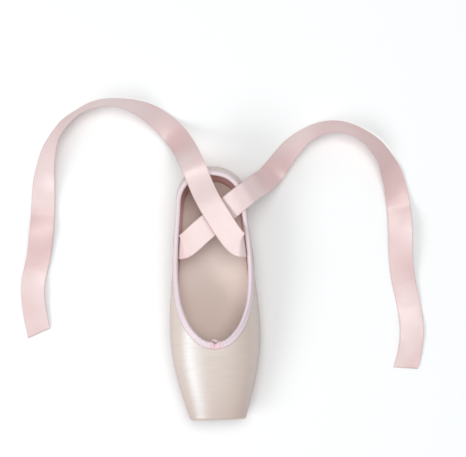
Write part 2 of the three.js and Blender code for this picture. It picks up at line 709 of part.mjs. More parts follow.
function outsole() {
  const tip = 1.2;
  return plate(
    plateStations(OUTSOLE_START + tip, OUTSOLE_END - tip, 34),
    (along) => Math.max(outsoleHalf(along) - OUTSOLE_BEVEL, 0.5),
    (along) => outsoleHalf(along),
    (x, along) => soleLift(along),
    (x, along) => besideUnderside(x, along, -FIT_GAP),
    6,
  );
}

// The insole lies on the upper's turned-in edge, and its shank fills the opening down to the outsole.
function insole() {
  const insoleHalf = (along) => {
    const fromFront = clamp((along - INSOLE_START) / half(PLATFORM_WIDTH), 0, 1);
    const fromBack = clamp((INSOLE_END - along) / half(HEEL_WIDTH - INSOLE_MARGIN * 2), 0, 1);
    const round = (share) => (1 - (1 - share) ** 2.3) ** (1 / 2.3);
    return (sideAt(along) - INSOLE_MARGIN - (wallAt(along) - UPPER_WALL)) * round(fromFront) * round(fromBack);
  };
  const bed = (x, along) => besideUnderside(x, along, wallAt(along) + BED_GAP);
  const board = plate(
    plateStations(INSOLE_START + 1, INSOLE_END - 1, 30),
    insoleHalf,
    insoleHalf,
    bed,
    (x, along) => bed(x, along) + INSOLE_THICKNESS,
    6,
  );
  const inset = LASTING_MARGIN + FIT_GAP * 2;
  const shankHalf = (along) => Math.max(outsoleHalf(along, inset), 0.4);
  const tip = inset + 1.2;
  const shank = plate(
    plateStations(OUTSOLE_START + tip, OUTSOLE_END - tip, 24),
    shankHalf,
    shankHalf,
    (x, along) => undersideAt(x, along),
    (x, along) => bed(x, along) + half(INSOLE_THICKNESS),
    4,
  );
  return toGeometry(toSolid(board).add(toSolid(shank)));
}

// A ribbon's sewn end lies on the inside of the wall.
function ribbonTab(side) {
  const rings = [];
  for (let i = 0; i <= 6; i++) {
    const along = TAB_ALONG + RIBBON_WIDTH * (i / 6 - 0.5);
    const lining = (z) => sideAtHeight(along, z) - wallAt(along) - FIT_GAP;
    const heights = [0, 1, 2, 3, 4].map((k) => TAB_TOP - TAB_HEIGHT + (TAB_HEIGHT * k) / 4);
    const against = heights.map((z) => ({ x: lining(z), along, z }));
    const facing = heights.map((z) => ({ x: lining(z) - RIBBON_THICKNESS, along, z }));
    rings.push([...against, ...facing.reverse()].map((point) => toVector(mirrored(point, side))));
  }
  return loft(rings);
}

// A ribbon's loose run: a flat strip swept along its route and turned by each row's roll.
function ribbon(route) {
  const numbers = route.map((_, i) => i);
  const along = (name) => curveThrough(
    numbers,
    route.map((row) => row[name]),
  );
  const [xAt, yAt, liftAt, rollAt] = ["x", "y", "lift", "roll"].map(along);
  const line = (at) => new THREE.Vector3(xAt(at), yAt(at), liftAt(at));
  const sewn = new THREE.Vector3(-WALL_TAPER, Math.sign(route[0].x), 0).normalize();
  const rings = [];
  for (let i = 0; i <= RIBBON_STEPS; i++) {
    const at = ((route.length - 1) * i) / RIBBON_STEPS;
    const point = line(at);
    const tangent = line(at + 0.05).sub(line(at - 0.05)).normalize();
    const level = new THREE.Vector3(tangent.y, -tangent.x, 0).normalize();
    level.lerpVectors(sewn, level, ease(at, 2, 5.5)).normalize();
    level.addScaledVector(tangent, -level.dot(tangent)).normalize();
    const above = new THREE.Vector3().crossVectors(level, tangent).normalize();
    const roll = radians(rollAt(at));
    const across = level.multiplyScalar(Math.cos(roll)).addScaledVector(above, Math.sin(roll));
    const face = new THREE.Vector3().crossVectors(across, tangent).normalize();
    point.z += half(RIBBON_THICKNESS) + half(RIBBON_WIDTH) * Math.abs(across.z);
    const corner = (sideways, up) =>
      point
        .clone()
        .addScaledVector(across, sideways * half(RIBBON_WIDTH))
        .addScaledVector(face, up * half(RIBBON_THICKNESS));
    rings.push([corner(-1, -1), corner(1, -1), corner(1, 1), corner(-1, 1)]);
  }
  return loft(rings);
}

// The knot is a small bead that sits in the throat's notch, against the casing.
function drawstringKnot() {
  const rib = ribs[0].rib;
  const rim = rib.surface(rib.end);
  const bead = new THREE.SphereGeometry(half(KNOT_THICKNESS), 12, 8);
  bead.scale(KNOT_LENGTH / KNOT_THICKNESS, 1, 1);
  const clear = FIT_GAP * 2 + CASING_WALL + half(KNOT_THICKNESS);
  bead.translate(0, rim.along + clear - half(SHOE_LENGTH), rim.z - half(wallAt(rim.along)));
  return welded(bead);
}

// Materials

const finish = (color, roughness, metalness = 0) => new THREE.MeshStandardMaterial({ color, roughness, metalness });
const satin = finish("#dccfc8", 0.38);
const casingSatin = finish("#e3c9cc", 0.42);
const ribbonSatin = finish("#edd0cd", 0.36);
const suede = finish("#b9a08c", 0.9);
const sock = finish("#e6d3c8", 0.8);

function piece(name, geometry, material) {
  geometry.computeVertexNormals();
  const mesh = new THREE.Mesh(geometry, material);
  mesh.name = name;
  return mesh;
}

const shoe = new THREE.Group();
shoe.add(piece("upper", upperShell(), satin));
shoe.add(piece("outsole", outsole(), suede));
shoe.add(piece("insole", insole(), sock));
shoe.add(piece("topline_binding", toplineBinding(), casingSatin));
shoe.add(piece("drawstring_knot", drawstringKnot(), casingSatin));
shoe.add(piece("ribbon_tab_right", ribbonTab(1), ribbonSatin));
shoe.add(piece("ribbon_tab_left", ribbonTab(-1), ribbonSatin));
shoe.add(piece("ribbon_right", ribbon(RIBBON_RIGHT), ribbonSatin));
shoe.add(piece("ribbon_left", ribbon(RIBBON_LEFT), ribbonSatin));

export default shoe;
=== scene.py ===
"""A satin pointe shoe, empty and standing on its sole, with its two ankle ribbons lying loose behind it.

The shoe is worked out in millimetres and turned into metres when a mesh is made. +Z is up, the toe points
to -Y and the heel to +Y. "along" is the distance back from the platform, the toe's flat end. x is across.
"""

import math

import bpy
import numpy as np
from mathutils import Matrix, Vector


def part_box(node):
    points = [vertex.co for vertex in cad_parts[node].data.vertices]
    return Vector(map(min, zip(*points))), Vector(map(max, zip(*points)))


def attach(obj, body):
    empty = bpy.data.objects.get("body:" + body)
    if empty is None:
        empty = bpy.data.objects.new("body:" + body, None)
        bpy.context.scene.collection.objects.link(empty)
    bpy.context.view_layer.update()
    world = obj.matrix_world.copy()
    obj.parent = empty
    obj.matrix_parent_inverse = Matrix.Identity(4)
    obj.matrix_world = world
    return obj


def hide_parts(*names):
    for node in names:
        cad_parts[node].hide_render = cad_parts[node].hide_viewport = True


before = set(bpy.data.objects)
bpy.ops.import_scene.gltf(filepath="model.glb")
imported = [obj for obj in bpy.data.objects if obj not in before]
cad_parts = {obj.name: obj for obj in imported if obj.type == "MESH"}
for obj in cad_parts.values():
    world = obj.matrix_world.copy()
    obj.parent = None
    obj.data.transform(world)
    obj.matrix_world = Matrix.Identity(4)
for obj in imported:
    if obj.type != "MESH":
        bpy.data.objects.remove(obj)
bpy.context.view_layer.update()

# Driving dimensions of the last, in millimetres
SHOE_LENGTH = 236.0
PLATFORM_WIDTH = 51.0
PLATFORM_HEIGHT = 25.0
PLATFORM_LEAN = math.radians(3)
BALL_WIDTH = 84.0
HEEL_WIDTH = 64.0
INSTEP_HEIGHT = 48.0
ANKLE_HEIGHT = 86.0
WIDEST_HEIGHT = 18.0
VAMP_ROUNDNESS = 2.2
CORNER_SHARPNESS = 0.4
TOE_RISE = 3.5
TOE_RISE_LENGTH = 40.0
ARCH_LIFT = 3.5
ARCH_START = 96.0
ARCH_END = 188.0
HEEL_ROUNDING = 32.0
HEEL_SQUARENESS = 2.2
HEEL_TUCK = 7.0
HEEL_LEAN = 4.0
HEEL_SHAPING = 55.0

# Driving dimensions of the pieces, in millimetres
UPPER_WALL = 1.4
BOX_WALL = 3.0
BOX_LENGTH = 70.0
VAMP_LENGTH = 73.0
THROAT_WIDTH = 64.0
THROAT_DEPTH = 38.0
SIDE_HEIGHT = 39.5
THROAT_SIDE_HEIGHT = 43.5
HEEL_HEIGHT = 51.0
CASING_WALL = 0.8
HEM_DEPTH = 4.9
CASING_STITCH_PITCH = 2.9
SIDE_SEAM = 150.0
SEAM_LEAN = 0.06
BACK_SEAM = 200.0
OUTSOLE_THICKNESS = 2.2
OUTSOLE_START = 20.0
OUTSOLE_END = 223.0
OUTSOLE_BALL_WIDTH = 57.0
OUTSOLE_WAIST_WIDTH = 32.0
OUTSOLE_HEEL_WIDTH = 40.0
LASTING_MARGIN = 6.5
INSOLE_THICKNESS = 2.0
INSOLE_START = 13.0
INSOLE_END = 222.0
INSOLE_MARGIN = 6.5
RIBBON_WIDTH = 22.0
RIBBON_THICKNESS = 0.34
TAB_ALONG = 162.0
TAB_TOP = 33.0
TAB_HEIGHT = 15.0
WALL_TAPER = 0.09
FIT_GAP = 0.3
BED_GAP = 0.45
END_ROUNDNESS = 2.3
EDGE_ROUNDING = 2.2
LINING_ROUNDING = 7.0
SPINE_ROUNDING = 24

UNDERSIDE = OUTSOLE_THICKNESS + FIT_GAP
PLATFORM_FOOT = UNDERSIDE + TOE_RISE
PLATFORM_TOP = PLATFORM_FOOT + PLATFORM_HEIGHT
SPINE_FRONT = VAMP_LENGTH + 22
SPINE_BACK = SHOE_LENGTH - 40
SPINE_HEIGHT = WIDEST_HEIGHT + 1

# The last's sections. at: share of the length. ball, heel: shares of the way from the platform's width to the
# ball's, and on to the heel's. vamp, ankle: shares of the ridge's climb to the instep, and on to the ankle.
# square: how square the lower corner is.
SECTIONS = {
    "at": [0.0, 0.06, 0.13, 0.2, 0.27, 0.355, 0.44, 0.53, 0.63, 0.72, 0.8, 0.87, 1.0],
    "ball": [0.0, 0.262, 0.543, 0.773, 0.929, 1, 1, 1, 1, 1, 1, 1, 1],
    "heel": [0, 0, 0, 0, 0, 0.0, 0.085, 0.25, 0.45, 0.66, 0.86, 0.975, 1.0],
    "vamp": [0, 0.247, 0.506, 0.724, 0.906, 1, 1, 1, 1, 1, 1, 1, 1],
    "ankle": [0, 0, 0, 0, 0, 0.037, 0.142, 0.29, 0.48, 0.647, 0.784, 0.88, 1.0],
    "square": [2.3, 2.5, 2.8, 3.1, 3.3, 3.4, 3.4, 3.2, 3.0, 3.0, 3.1, 3.2, 3.2],
}
# The collar's height behind the throat: shares of the way from the throat to the waist, and on to the heel.
COLLAR = {
    "at": [0.0, 0.25, 0.42, 0.55, 0.7, 0.83, 0.93, 1.0],
    "side": [0.0, 0.3, 0.85, 1, 1, 1, 1, 1],
    "heel": [0, 0, 0, 0.03, 0.22, 0.55, 0.86, 1.0],
}
# The throat's curve: shares of half its width and of its depth.
THROAT = {
    "across": [0.0, 0.22, 0.45, 0.625, 0.76, 0.88, 1.0, 1.1],
    "back": [0.0, 0.035, 0.145, 0.3, 0.465, 0.69, 1.0, 1.36],
}
# The outsole's width: shares of the way from the ball's to the waist's, and on to the heel's.
OUTSOLE = {
    "at": [0.0, 0.13, 0.26, 0.36, 0.48, 0.6, 0.68, 0.8, 0.92, 1.0],
    "waist": [0.42, 0.17, 0.02, 0.03, 0.45, 0.92, 1, 1, 1, 1],
    "heel": [0, 0, 0, 0, 0, 0, 0.12, 0.62, 0.98, 1.0],
}
# The loose run of each ribbon: x, y, the height of its lower edge, and its roll in degrees.
RIBBON_RIGHT = [
    (32.2, 44, 28.5, 0), (31.4, 44, 32.5, 0), (30.5, 44, 37, 0), (29.5, 44, 41.5, 0), (27, 44.2, 44.6, 0),
    (23.4, 46, 46, 0), (18.4, 51.5, 46.2, 0), (12.5, 60.5, 46.1, 0), (6, 71.5, 46.1, 0), (-1, 84, 46.9, 0),
    (-6.5, 96, 50, 0), (-10.5, 106.5, 52.5, 0), (-14, 116, 52.2, 0), (-17.5, 124, 46, 0),
    (-20.5, 130.5, 34, 0), (-24.5, 138, 19, -3), (-31.5, 148.5, 6, -10), (-43, 161, 0.8, -24),
    (-60, 173, 0.4, -44), (-81, 180, 0.4, -60), (-103, 180, 0.4, -68), (-124, 171, 0.4, -68),
    (-141, 155, 0.4, -60), (-151, 134, 0.4, -44), (-156, 110, 0.4, -20), (-158, 86, 1.5, -4),
    (-160, 62, 4.5, 5), (-164, 38, 2.5, 3), (-169.5, 15, 2.2, -3), (-169.5, -9, 1.4, -4), (-166, -33, 0.4, 0),
]
RIBBON_LEFT = [
    (-32.2, 44, 28.5, 0), (-31.5, 44, 32.5, 0), (-30.7, 44, 36, 0), (-28.9, 44, 38.9, 0),
    (-25.2, 45, 40.4, 0), (-19.5, 49, 40.6, 0), (-12, 55.5, 40.4, 0), (-4, 62, 40.2, 0), (4, 68.5, 40.2, 0),
    (12, 75, 41, 0), (19, 80.5, 43.9, -5), (25.5, 85.5, 46.2, -12), (31, 89.5, 46.6, -15), (36, 93, 45, -14),
    (41, 96.5, 39, -10), (45.5, 99.5, 29, -5), (50.5, 103, 17, 2), (58.5, 110.5, 5, 12), (69, 124, 0.8, 26),
    (84, 139.5, 0.4, 42), (104, 150, 0.4, 54), (126, 150.5, 0.4, 58), (146, 141, 0.4, 54),
    (161, 124.5, 0.4, 42), (170.5, 103.5, 0.4, 22), (175, 80.5, 1.5, 4), (176.5, 57, 4, -10),
    (176, 33.5, 3, -14), (177.5, 10, 1, -8), (181.5, -13, 0.4, -2), (184.5, -36.5, 1.2, 3),
    (182.5, -59, 1.2, 2), (177.5, -77, 0.4, 0),
]


# Small mathematics


def mix(start, end, share):
    return start + (end - start) * share


def ease(value, start, end):
    """0 before start and 1 after end, with a smooth climb between them: 3 s squared less 2 s cubed."""
    share = np.clip((value - start) / (end - start), 0, 1)
    return share * share * (3 - 2 * share)


def rounded_max(a, b, width):
    """The larger of two values, rounded where they come within a width of each other."""
    near = np.maximum(width - np.abs(a - b), 0)
    return np.maximum(a, b) + near * near / (4 * width)


def bell(value, width):
    """1 at nought, falling to nothing over a few widths."""
    return np.exp(-((value / width) ** 2))


def length_of(vector):
    return np.linalg.norm(vector, axis=-1)


def unit(vector):
    return vector / length_of(vector)[..., None]


def running_total(steps):
    """The sum of the steps up to each place, from nought."""
    return np.concatenate([np.zeros(steps.shape[:-1] + (1,)), np.cumsum(steps, axis=-1)], axis=-1)


def grid_of(*columns):
    """Arrays stretched to one grid, and laid side by side in each of its places."""
    return np.stack(np.broadcast_arrays(*columns), axis=-1)


def rounded_end(share):
    """The width of a superelliptic end, as a share of the whole, at a share of the way in from its tip."""
    return (1 - (1 - share) ** END_ROUNDNESS) ** (1 / END_ROUNDNESS)


def curve_through(places, values):
    """A natural cubic spline through a table's points, carried on straight beyond its ends."""
    x = np.asarray(places, float)
    y = np.asarray(values, float)
    gap = np.diff(x)
    slope = np.diff(y) / gap
    size = len(x)
    system = np.eye(size)
    turn = np.zeros(size)
    for i in range(1, size - 1):
        system[i, i - 1 : i + 2] = gap[i - 1], 2 * (gap[i - 1] + gap[i]), gap[i]
        turn[i] = 6 * (slope[i] - slope[i - 1])
    bend = np.linalg.solve(system, turn)
    first = slope[0] - gap[0] * (2 * bend[0] + bend[1]) / 6
    last = slope[-1] + gap[-1] * (bend[-2] + 2 * bend[-1]) / 6

    def curve(at):
        inside = np.clip(at, x[0], x[-1])
        i = np.clip(np.searchsorted(x, inside) - 1, 0, size - 2)
        b = (inside - x[i]) / gap[i]
        a = 1 - b
        bulge = ((a**3 - a) * bend[i] + (b**3 - b) * bend[i + 1]) * gap[i] ** 2 / 6
        beyond = np.minimum(at - x[0], 0) * first + np.maximum(at - x[-1], 0) * last
        return a * y[i] + b * y[i + 1] + bulge + beyond

    return curve


def path_through(points):
    """A spline for each column of a table, all as one function of the row's number."""
    columns = [curve_through(np.arange(len(points)), column) for column in zip(*points)]

    def path(at):
        return grid_of(*[column(at) for column in columns])

    return path


def crossing(rising, low, high, shape):
    """Where a function of a whole array turns from negative to positive, by halving the interval."""
    low = np.full(shape, float(low))
    high = np.full(shape, float(high))
    for _ in range(34):
        middle = (low + high) / 2
        before = rising(middle) < 0
        low = np.where(before, middle, low)
        high = np.where(before, high, middle)
    return (low + high) / 2


# The last

SECTION_PLACES = np.array(SECTIONS["at"]) * SHOE_LENGTH
ball_width = mix(PLATFORM_WIDTH, BALL_WIDTH, np.array(SECTIONS["ball"]))
side_at = curve_through(SECTION_PLACES, mix(ball_width, HEEL_WIDTH, np.array(SECTIONS["heel"])) / 2)
vamp_height = mix(PLATFORM_TOP, INSTEP_HEIGHT, np.array(SECTIONS["vamp"]))
ridge_at = curve_through(SECTION_PLACES, mix(vamp_height, ANKLE_HEIGHT, np.array(SECTIONS["ankle"])))
square_at = curve_through(SECTION_PLACES, SECTIONS["square"])


def sole_lift(along):
    """How far the sole is off the floor: a parabola up to the toe and a squared sine over the arch."""
    toe = np.maximum(1 - along / TOE_RISE_LENGTH, 0)
    arch = np.clip((along - ARCH_START) / (ARCH_END - ARCH_START), 0, 1)
    return TOE_RISE * toe * toe + ARCH_LIFT * np.sin(np.pi * arch) ** 2


def heel_share(along):
    return np.maximum((along - (SHOE_LENGTH - HEEL_ROUNDING)) / HEEL_ROUNDING, 0)


def share_at(x, along):
    """The share of the widest outline that passes through a place, closed by a superellipse at the heel."""
    across = (np.abs(x) / side_at(along)) ** HEEL_SQUARENESS
    return (across + heel_share(along) ** HEEL_SQUARENESS) ** (1 / HEEL_SQUARENESS)


def width_of_share(along, share):
    """Half the width of the outline that has shrunk to a share of its size."""
    left = np.maximum(share**HEEL_SQUARENESS - heel_share(along) ** HEEL_SQUARENESS, 0)
    return side_at(along) * left ** (1 / HEEL_SQUARENESS)


def unshaped(along, z):
    """The unshaped last's place that the heel's profile brings here: tucked in below, leaning in above."""
    below = np.clip((WIDEST_HEIGHT - z) / (WIDEST_HEIGHT - UNDERSIDE), 0, 1)
    above = np.maximum((z - WIDEST_HEIGHT) / (HEEL_HEIGHT - WIDEST_HEIGHT), 0)
    setback = HEEL_TUCK * below**2.4 + HEEL_LEAN * above**1.6
    return along + setback * ease(along, SHOE_LENGTH - HEEL_SHAPING, SHOE_LENGTH - HEEL_ROUNDING / 2)


def outside(x, along, z, edge):
    """Positive outside the last: superelliptic sections with their own lower half, cut by the platform."""
    place = unshaped(along, z)
    above = z > WIDEST_HEIGHT
    height = np.where(above, ridge_at(place) - WIDEST_HEIGHT, WIDEST_HEIGHT - UNDERSIDE - sole_lift(place))
    across = np.where(above, VAMP_ROUNDNESS, square_at(place) + CORNER_SHARPNESS)
    upright = np.where(above, VAMP_ROUNDNESS, square_at(place))
    rise = np.abs(z - WIDEST_HEIGHT)
    size = np.maximum(share_at(x, place) ** across + (rise / height) ** upright, 1e-9)
    far = np.sqrt(x * x + rise * rise + (heel_share(place) * HEEL_ROUNDING) ** 2)
    section = far * (1 - size ** (-2 / (across + upright)))
    platform = (z - PLATFORM_FOOT) * math.tan(PLATFORM_LEAN) - along
    return rounded_max(section, platform, edge)


def outward(x, along, z, edge):
    """The last's outward direction, from the slope of the function above."""
    step = 0.05
    slope = [
        outside(x + step, along, z, edge) - outside(x - step, along, z, edge),
        outside(x, along + step, z, edge) - outside(x, along - step, z, edge),
        outside(x, along, z + step, edge) - outside(x, along, z - step, edge),
    ]
    return unit(grid_of(*slope))


def underside_at(x, along):
    """The height of the last's underside, from its superellipse, with the heel's shaping by steps."""

    def height_at(place):
        square = square_at(place)
        share = np.minimum(share_at(x, place), 0.999)
        drop = (1 - share ** (square + CORNER_SHARPNESS)) ** (1 / square)
        return mix(WIDEST_HEIGHT, UNDERSIDE + sole_lift(place), drop)

    return height_at(unshaped(along, height_at(unshaped(along, height_at(along)))))


def beside_underside(x, along, distance):
    """The height of a face at a distance from the last's underside, measured square to it."""
    step = 0.1
    across = (underside_at(x + step, along) - underside_at(x - step, along)) / (2 * step)
    lengthways = (underside_at(x, along + step) - underside_at(x, along - step)) / (2 * step)
    return underside_at(x, along) + distance * np.sqrt(1 + across**2 + lengthways**2)


def rise_share(along, z):
    """The share of the widest outline that the upper half has shrunk to at a height."""
    rise = np.clip((z - WIDEST_HEIGHT) / (ridge_at(along) - WIDEST_HEIGHT), 0, 1)
    return (1 - rise**VAMP_ROUNDNESS) ** (1 / VAMP_ROUNDNESS)


def side_at_height(along, z):
    place = unshaped(along, z)
    return width_of_share(place, rise_share(place, z))


throat_at = curve_through(
    np.array(THROAT["across"]) * THROAT_WIDTH / 2,
    VAMP_LENGTH + np.array(THROAT["back"]) * THROAT_DEPTH,
)
collar_side = mix(THROAT_SIDE_HEIGHT, SIDE_HEIGHT, np.array(COLLAR["side"]))
collar_at = curve_through(
    mix(VAMP_LENGTH, SHOE_LENGTH - HEEL_LEAN, np.array(COLLAR["at"])),
    mix(collar_side, HEEL_HEIGHT, np.array(COLLAR["heel"])),
)


def outside_collar(x, along):
    """Positive outside the opening: in front of the throat's curve, or nearer the side than the collar."""
    z = collar_at(along)
    place = unshaped(along, z)
    side = side_at(place) * (share_at(x, place) - rise_share(place, z))
    return rounded_max(throat_at(np.abs(x)) - along, side, 3)


def collar_height(x, along):
    """The rim's height: the last's own in front of the throat, and the collar's curve behind it."""
    rise = (1 - np.minimum(share_at(x, along), 1) ** VAMP_ROUNDNESS) ** (1 / VAMP_ROUNDNESS)
    from_place = mix(WIDEST_HEIGHT, ridge_at(along), rise)
    behind = ease(along, VAMP_LENGTH + THROAT_DEPTH * 0.5, VAMP_LENGTH + THROAT_DEPTH * 1.3)
    return mix(from_place, collar_at(along), behind)


outsole_ball = mix(OUTSOLE_BALL_WIDTH, OUTSOLE_WAIST_WIDTH, np.array(OUTSOLE["waist"]))
outsole_width_at = curve_through(
    mix(OUTSOLE_START, OUTSOLE_END, np.array(OUTSOLE["at"])),
    mix(outsole_ball, OUTSOLE_HEEL_WIDTH, np.array(OUTSOLE["heel"])),
)


def outsole_half(along, inset=0.0):
    """Half the outsole's width with superelliptic ends, drawn in all round by inset."""
    from_front = np.clip((along - OUTSOLE_START - inset) / (outsole_width_at(OUTSOLE_START) / 2), 0, 1)
    from_back = np.clip((OUTSOLE_END - inset - along) / (OUTSOLE_HEEL_WIDTH / 2), 0, 1)
    middle = np.maximum(outsole_width_at(along) / 2 - inset, 0)
    return middle * rounded_end(from_front) * rounded_end(from_back)


def wall_at(along):
    return mix(BOX_WALL, UPPER_WALL, ease(along, BOX_LENGTH * 0.35, BOX_LENGTH))


# The ribs of the upper


def outline_places(count):
    """Places round the widest outline from the toe's middle, closer together at the toe and the heel."""
    back = SHOE_LENGTH * np.sin(np.linspace(0, np.pi / 2, 900))
    along = np.concatenate([np.zeros(60), back])
    x = np.concatenate([np.linspace(0, side_at(0), 60), width_of_share(back, 1)])
    step = np.hypot(np.diff(x), np.diff(along))
    closer = 1 + 1.3 * bell(along[1:], 55) + 0.6 * bell(SHOE_LENGTH - along[1:], 30)
    travelled = running_total(step * closer)
    target = np.linspace(0, travelled[-1], count // 2 + 1)
    right_x = np.interp(target, travelled, x)
    right_along = np.interp(target, travelled, along)
    whole_x = np.concatenate([right_x, -right_x[-2:0:-1]])
    return whole_x, np.concatenate([right_along, right_along[-2:0:-1]])


class Ribs:
    """Slices of the last through its spine, from the upper's lower edge, round its outside, to the collar."""

    def __init__(self, count, edge):
        x, along = outline_places(count)
        self.edge = edge
        behind_front = rounded_max(along, SPINE_FRONT, SPINE_ROUNDING)
        self.centre = -rounded_max(-behind_front, -SPINE_BACK, SPINE_ROUNDING)
        length = np.hypot(x, along - self.centre)
        self.away_x = x / length
        self.away_along = (along - self.centre) / length
        lower = crossing(self._outside_lower_edge, 0, 110, count)
        upper = crossing(self._outside_collar, 0, 60, count)
        lower_height = underside_at(*self._level(lower))
        self.start = -np.arctan2(SPINE_HEIGHT - lower_height, lower)
        self.end = np.arctan2(collar_height(*self._level(upper)) - SPINE_HEIGHT, upper)

    def _level(self, distance):
        return self.away_x * distance, self.centre + self.away_along * distance

    def _outside_lower_edge(self, distance):
        x, along = self._level(distance)
        return np.abs(x) - outsole_half(along, LASTING_MARGIN)

    def _outside_collar(self, distance):
        return outside_collar(*self._level(distance))

    def surface(self, angle):
        """The last's surface along rays at these angles above the level, one row of angles for each rib."""
        flat = np.cos(angle)
        up = np.sin(angle)
        side = self.away_x[:, None] * flat
        back = self.away_along[:, None] * flat
        centre = self.centre[:, None]

        def beyond(far):
            return outside(side * far, centre + back * far, SPINE_HEIGHT + far * up, self.edge)

        far = crossing(beyond, 0, 140, angle.shape)
        return grid_of(side * far, centre + back * far, SPINE_HEIGHT + far * up)

    def rows(self, count, curl=7.0):
        """Angles, and distances from the lower edge, of rows along the surface, closer together on bends."""
        share = np.linspace(0, 1, 260)
        angle = mix(self.start[:, None], self.end[:, None], share[None, :])
        point = self.surface(angle)
        step = length_of(np.diff(point, axis=1))
        heading = np.diff(point, axis=1) / np.maximum(step, 1e-6)[..., None]
        bend = length_of(np.diff(heading, axis=1)) / np.maximum(step[:, 1:], 1e-6)
        bend = np.concatenate([bend[:, :1], bend], axis=1)
        travelled = running_total(step)
        weighted = running_total(step * (1 + curl * np.minimum(bend, 0.4)))
        wanted = np.linspace(0, 1, count)
        angles = np.empty((len(angle), count))
        distances = np.empty((len(angle), count))
        for i in range(len(angle)):
            angles[i] = np.interp(wanted * weighted[i, -1], weighted[i], angle[i])
            distances[i] = np.interp(angles[i], angle[i], travelled[i])
        return angles, distances, travelled[:, -1:]

    def from_collar(self, depths):
        """Angles at distances down from the collar."""
        angles, distances, total = self.rows(200, curl=0.0)
        return np.stack([np.interp(total[i] - depths, distances[i], angles[i]) for i in range(len(angles))])

    def normals(self, point):
        return outward(point[..., 0], point[..., 1], point[..., 2], self.edge)


# Meshes


def to_row(point):
    """Millimetres from the platform into metres from the shoe's middle."""
    moved = np.array(point, float)
    moved[..., 1] -= SHOE_LENGTH / 2
    return moved / 1000


def there_and_back(first, second):
    """Rings of points, each across one face and back across the other."""
    return np.concatenate([first, second[:, ::-1]], axis=1)


def placed(name, data):
    thing = bpy.data.objects.new(name, data)
    bpy.context.scene.collection.objects.link(thing)
    return thing


def grid_mesh(name, point, closed=False, uv=None, period=0.0, slots=None, zones=None):
    """A piece from rings of points in metres, joined ring to ring.

    A closed piece joins its last ring to its first, and any other is capped at both ends. uv holds two values
    for each point, of which the first grows by period once round a closed piece. slots gives the material of
    each face round a ring. zones holds named values for each point.
    """
    rings, columns = point.shape[:2]
    number = np.arange(rings * columns).reshape(rings, columns)
    beside = np.roll(number, -1, axis=1)
    quads = np.stack([number, beside, np.roll(beside, -1, axis=0), np.roll(number, -1, axis=0)], axis=-1)
    if closed:
        faces = quads.reshape(-1, 4).tolist()
    else:
        faces = quads[:-1].reshape(-1, 4).tolist() + [number[0][::-1].tolist(), number[-1].tolist()]
    mesh = bpy.data.meshes.new(name)
    mesh.from_pydata(point.reshape(-1, 3).tolist(), [], faces)
    mesh.polygons.foreach_set("use_smooth", np.ones(len(faces), bool))
    if slots is not None:
        mesh.polygons.foreach_set("material_index", np.resize(np.array(slots, np.int32), len(faces)))
    if uv is not None:
        spread = np.concatenate([uv, uv[:1] + (period, 0)]) if closed else uv
        spread = np.concatenate([spread, spread[:, :1]], axis=1)
        corners = np.stack([spread[:-1, :-1], spread[:-1, 1:], spread[1:, 1:], spread[1:, :-1]], axis=2)
        corners = corners.reshape(-1, 2)
        if not closed:
            corners = np.concatenate([corners, uv[0][::-1], uv[-1]])
        layer = mesh.uv_layers.new(name="lie")
        layer.data.foreach_set("uv", corners.ravel())
    for zone, value in (zones or {}).items():
        layer = mesh.attributes.new(zone, "FLOAT", "POINT")
        layer.data.foreach_set("value", np.asarray(value, np.float32).ravel())
    mesh.validate()
    return placed(name, mesh)


def face_out(mesh):
    """Turns a closed mesh's faces outwards. Its volume is negative where its grid runs the other way."""
    corner = np.empty(len(mesh.vertices) * 3)
    mesh.vertices.foreach_get("co", corner)
    corner = corner.reshape(-1, 3)
    mesh.calc_loop_triangles()
    side = np.empty(len(mesh.loop_triangles) * 3, np.int32)
    mesh.loop_triangles.foreach_get("vertices", side)
    a, b, c = corner[side.reshape(-1, 3)].transpose(1, 0, 2)
    if np.sum(a * np.cross(b, c)) < 0:
        mesh.flip_normals()


def finished(piece, slot, node, *materials):
    """Gives a piece its materials and its place in the part. One without a node is a detail of its own."""
    face_out(piece.data)
    for material in materials:
        piece.data.materials.append(material)
    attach(piece, "root")
    if node:
        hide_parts(node)


# Materials


class Value:
    """A number that varies over a surface: adding, multiplying and so on make the shader's Math nodes."""

    def __init__(self, finish, socket):
        self.finish = finish
        self.socket = socket

    def _maths(self, operation, *values):
        return self.finish.node("ShaderNodeMath", {"operation": operation}, *values)

    def __add__(self, other):
        return self._maths("ADD", self, other)

    def __sub__(self, other):
        return self._maths("SUBTRACT", self, other)

    def __mul__(self, other):
        return self._maths("MULTIPLY", self, other)

    def __truediv__(self, other):
        return self._maths("DIVIDE", self, other)

    def __rsub__(self, other):
        return self._maths("SUBTRACT", other, self)

    def __abs__(self):
        return self._maths("ABSOLUTE", self)

    __radd__ = __add__
    __rmul__ = __mul__

    def sine(self):
        return self._maths("SINE", self)

    def bell(self, width):
        """e to the power of minus the square of the value over a width."""
        share = self / width
        return self._maths("EXPONENT", share * share * -1.0)

    def step(self, start, end):
        settings = {"interpolation_type": "SMOOTHSTEP"}
        return self.finish.node("ShaderNodeMapRange", settings, self, start, end, 0.0, 1.0)


WHITE = (1, 1, 1)
SHEEN_ROUGHNESS = 0.4


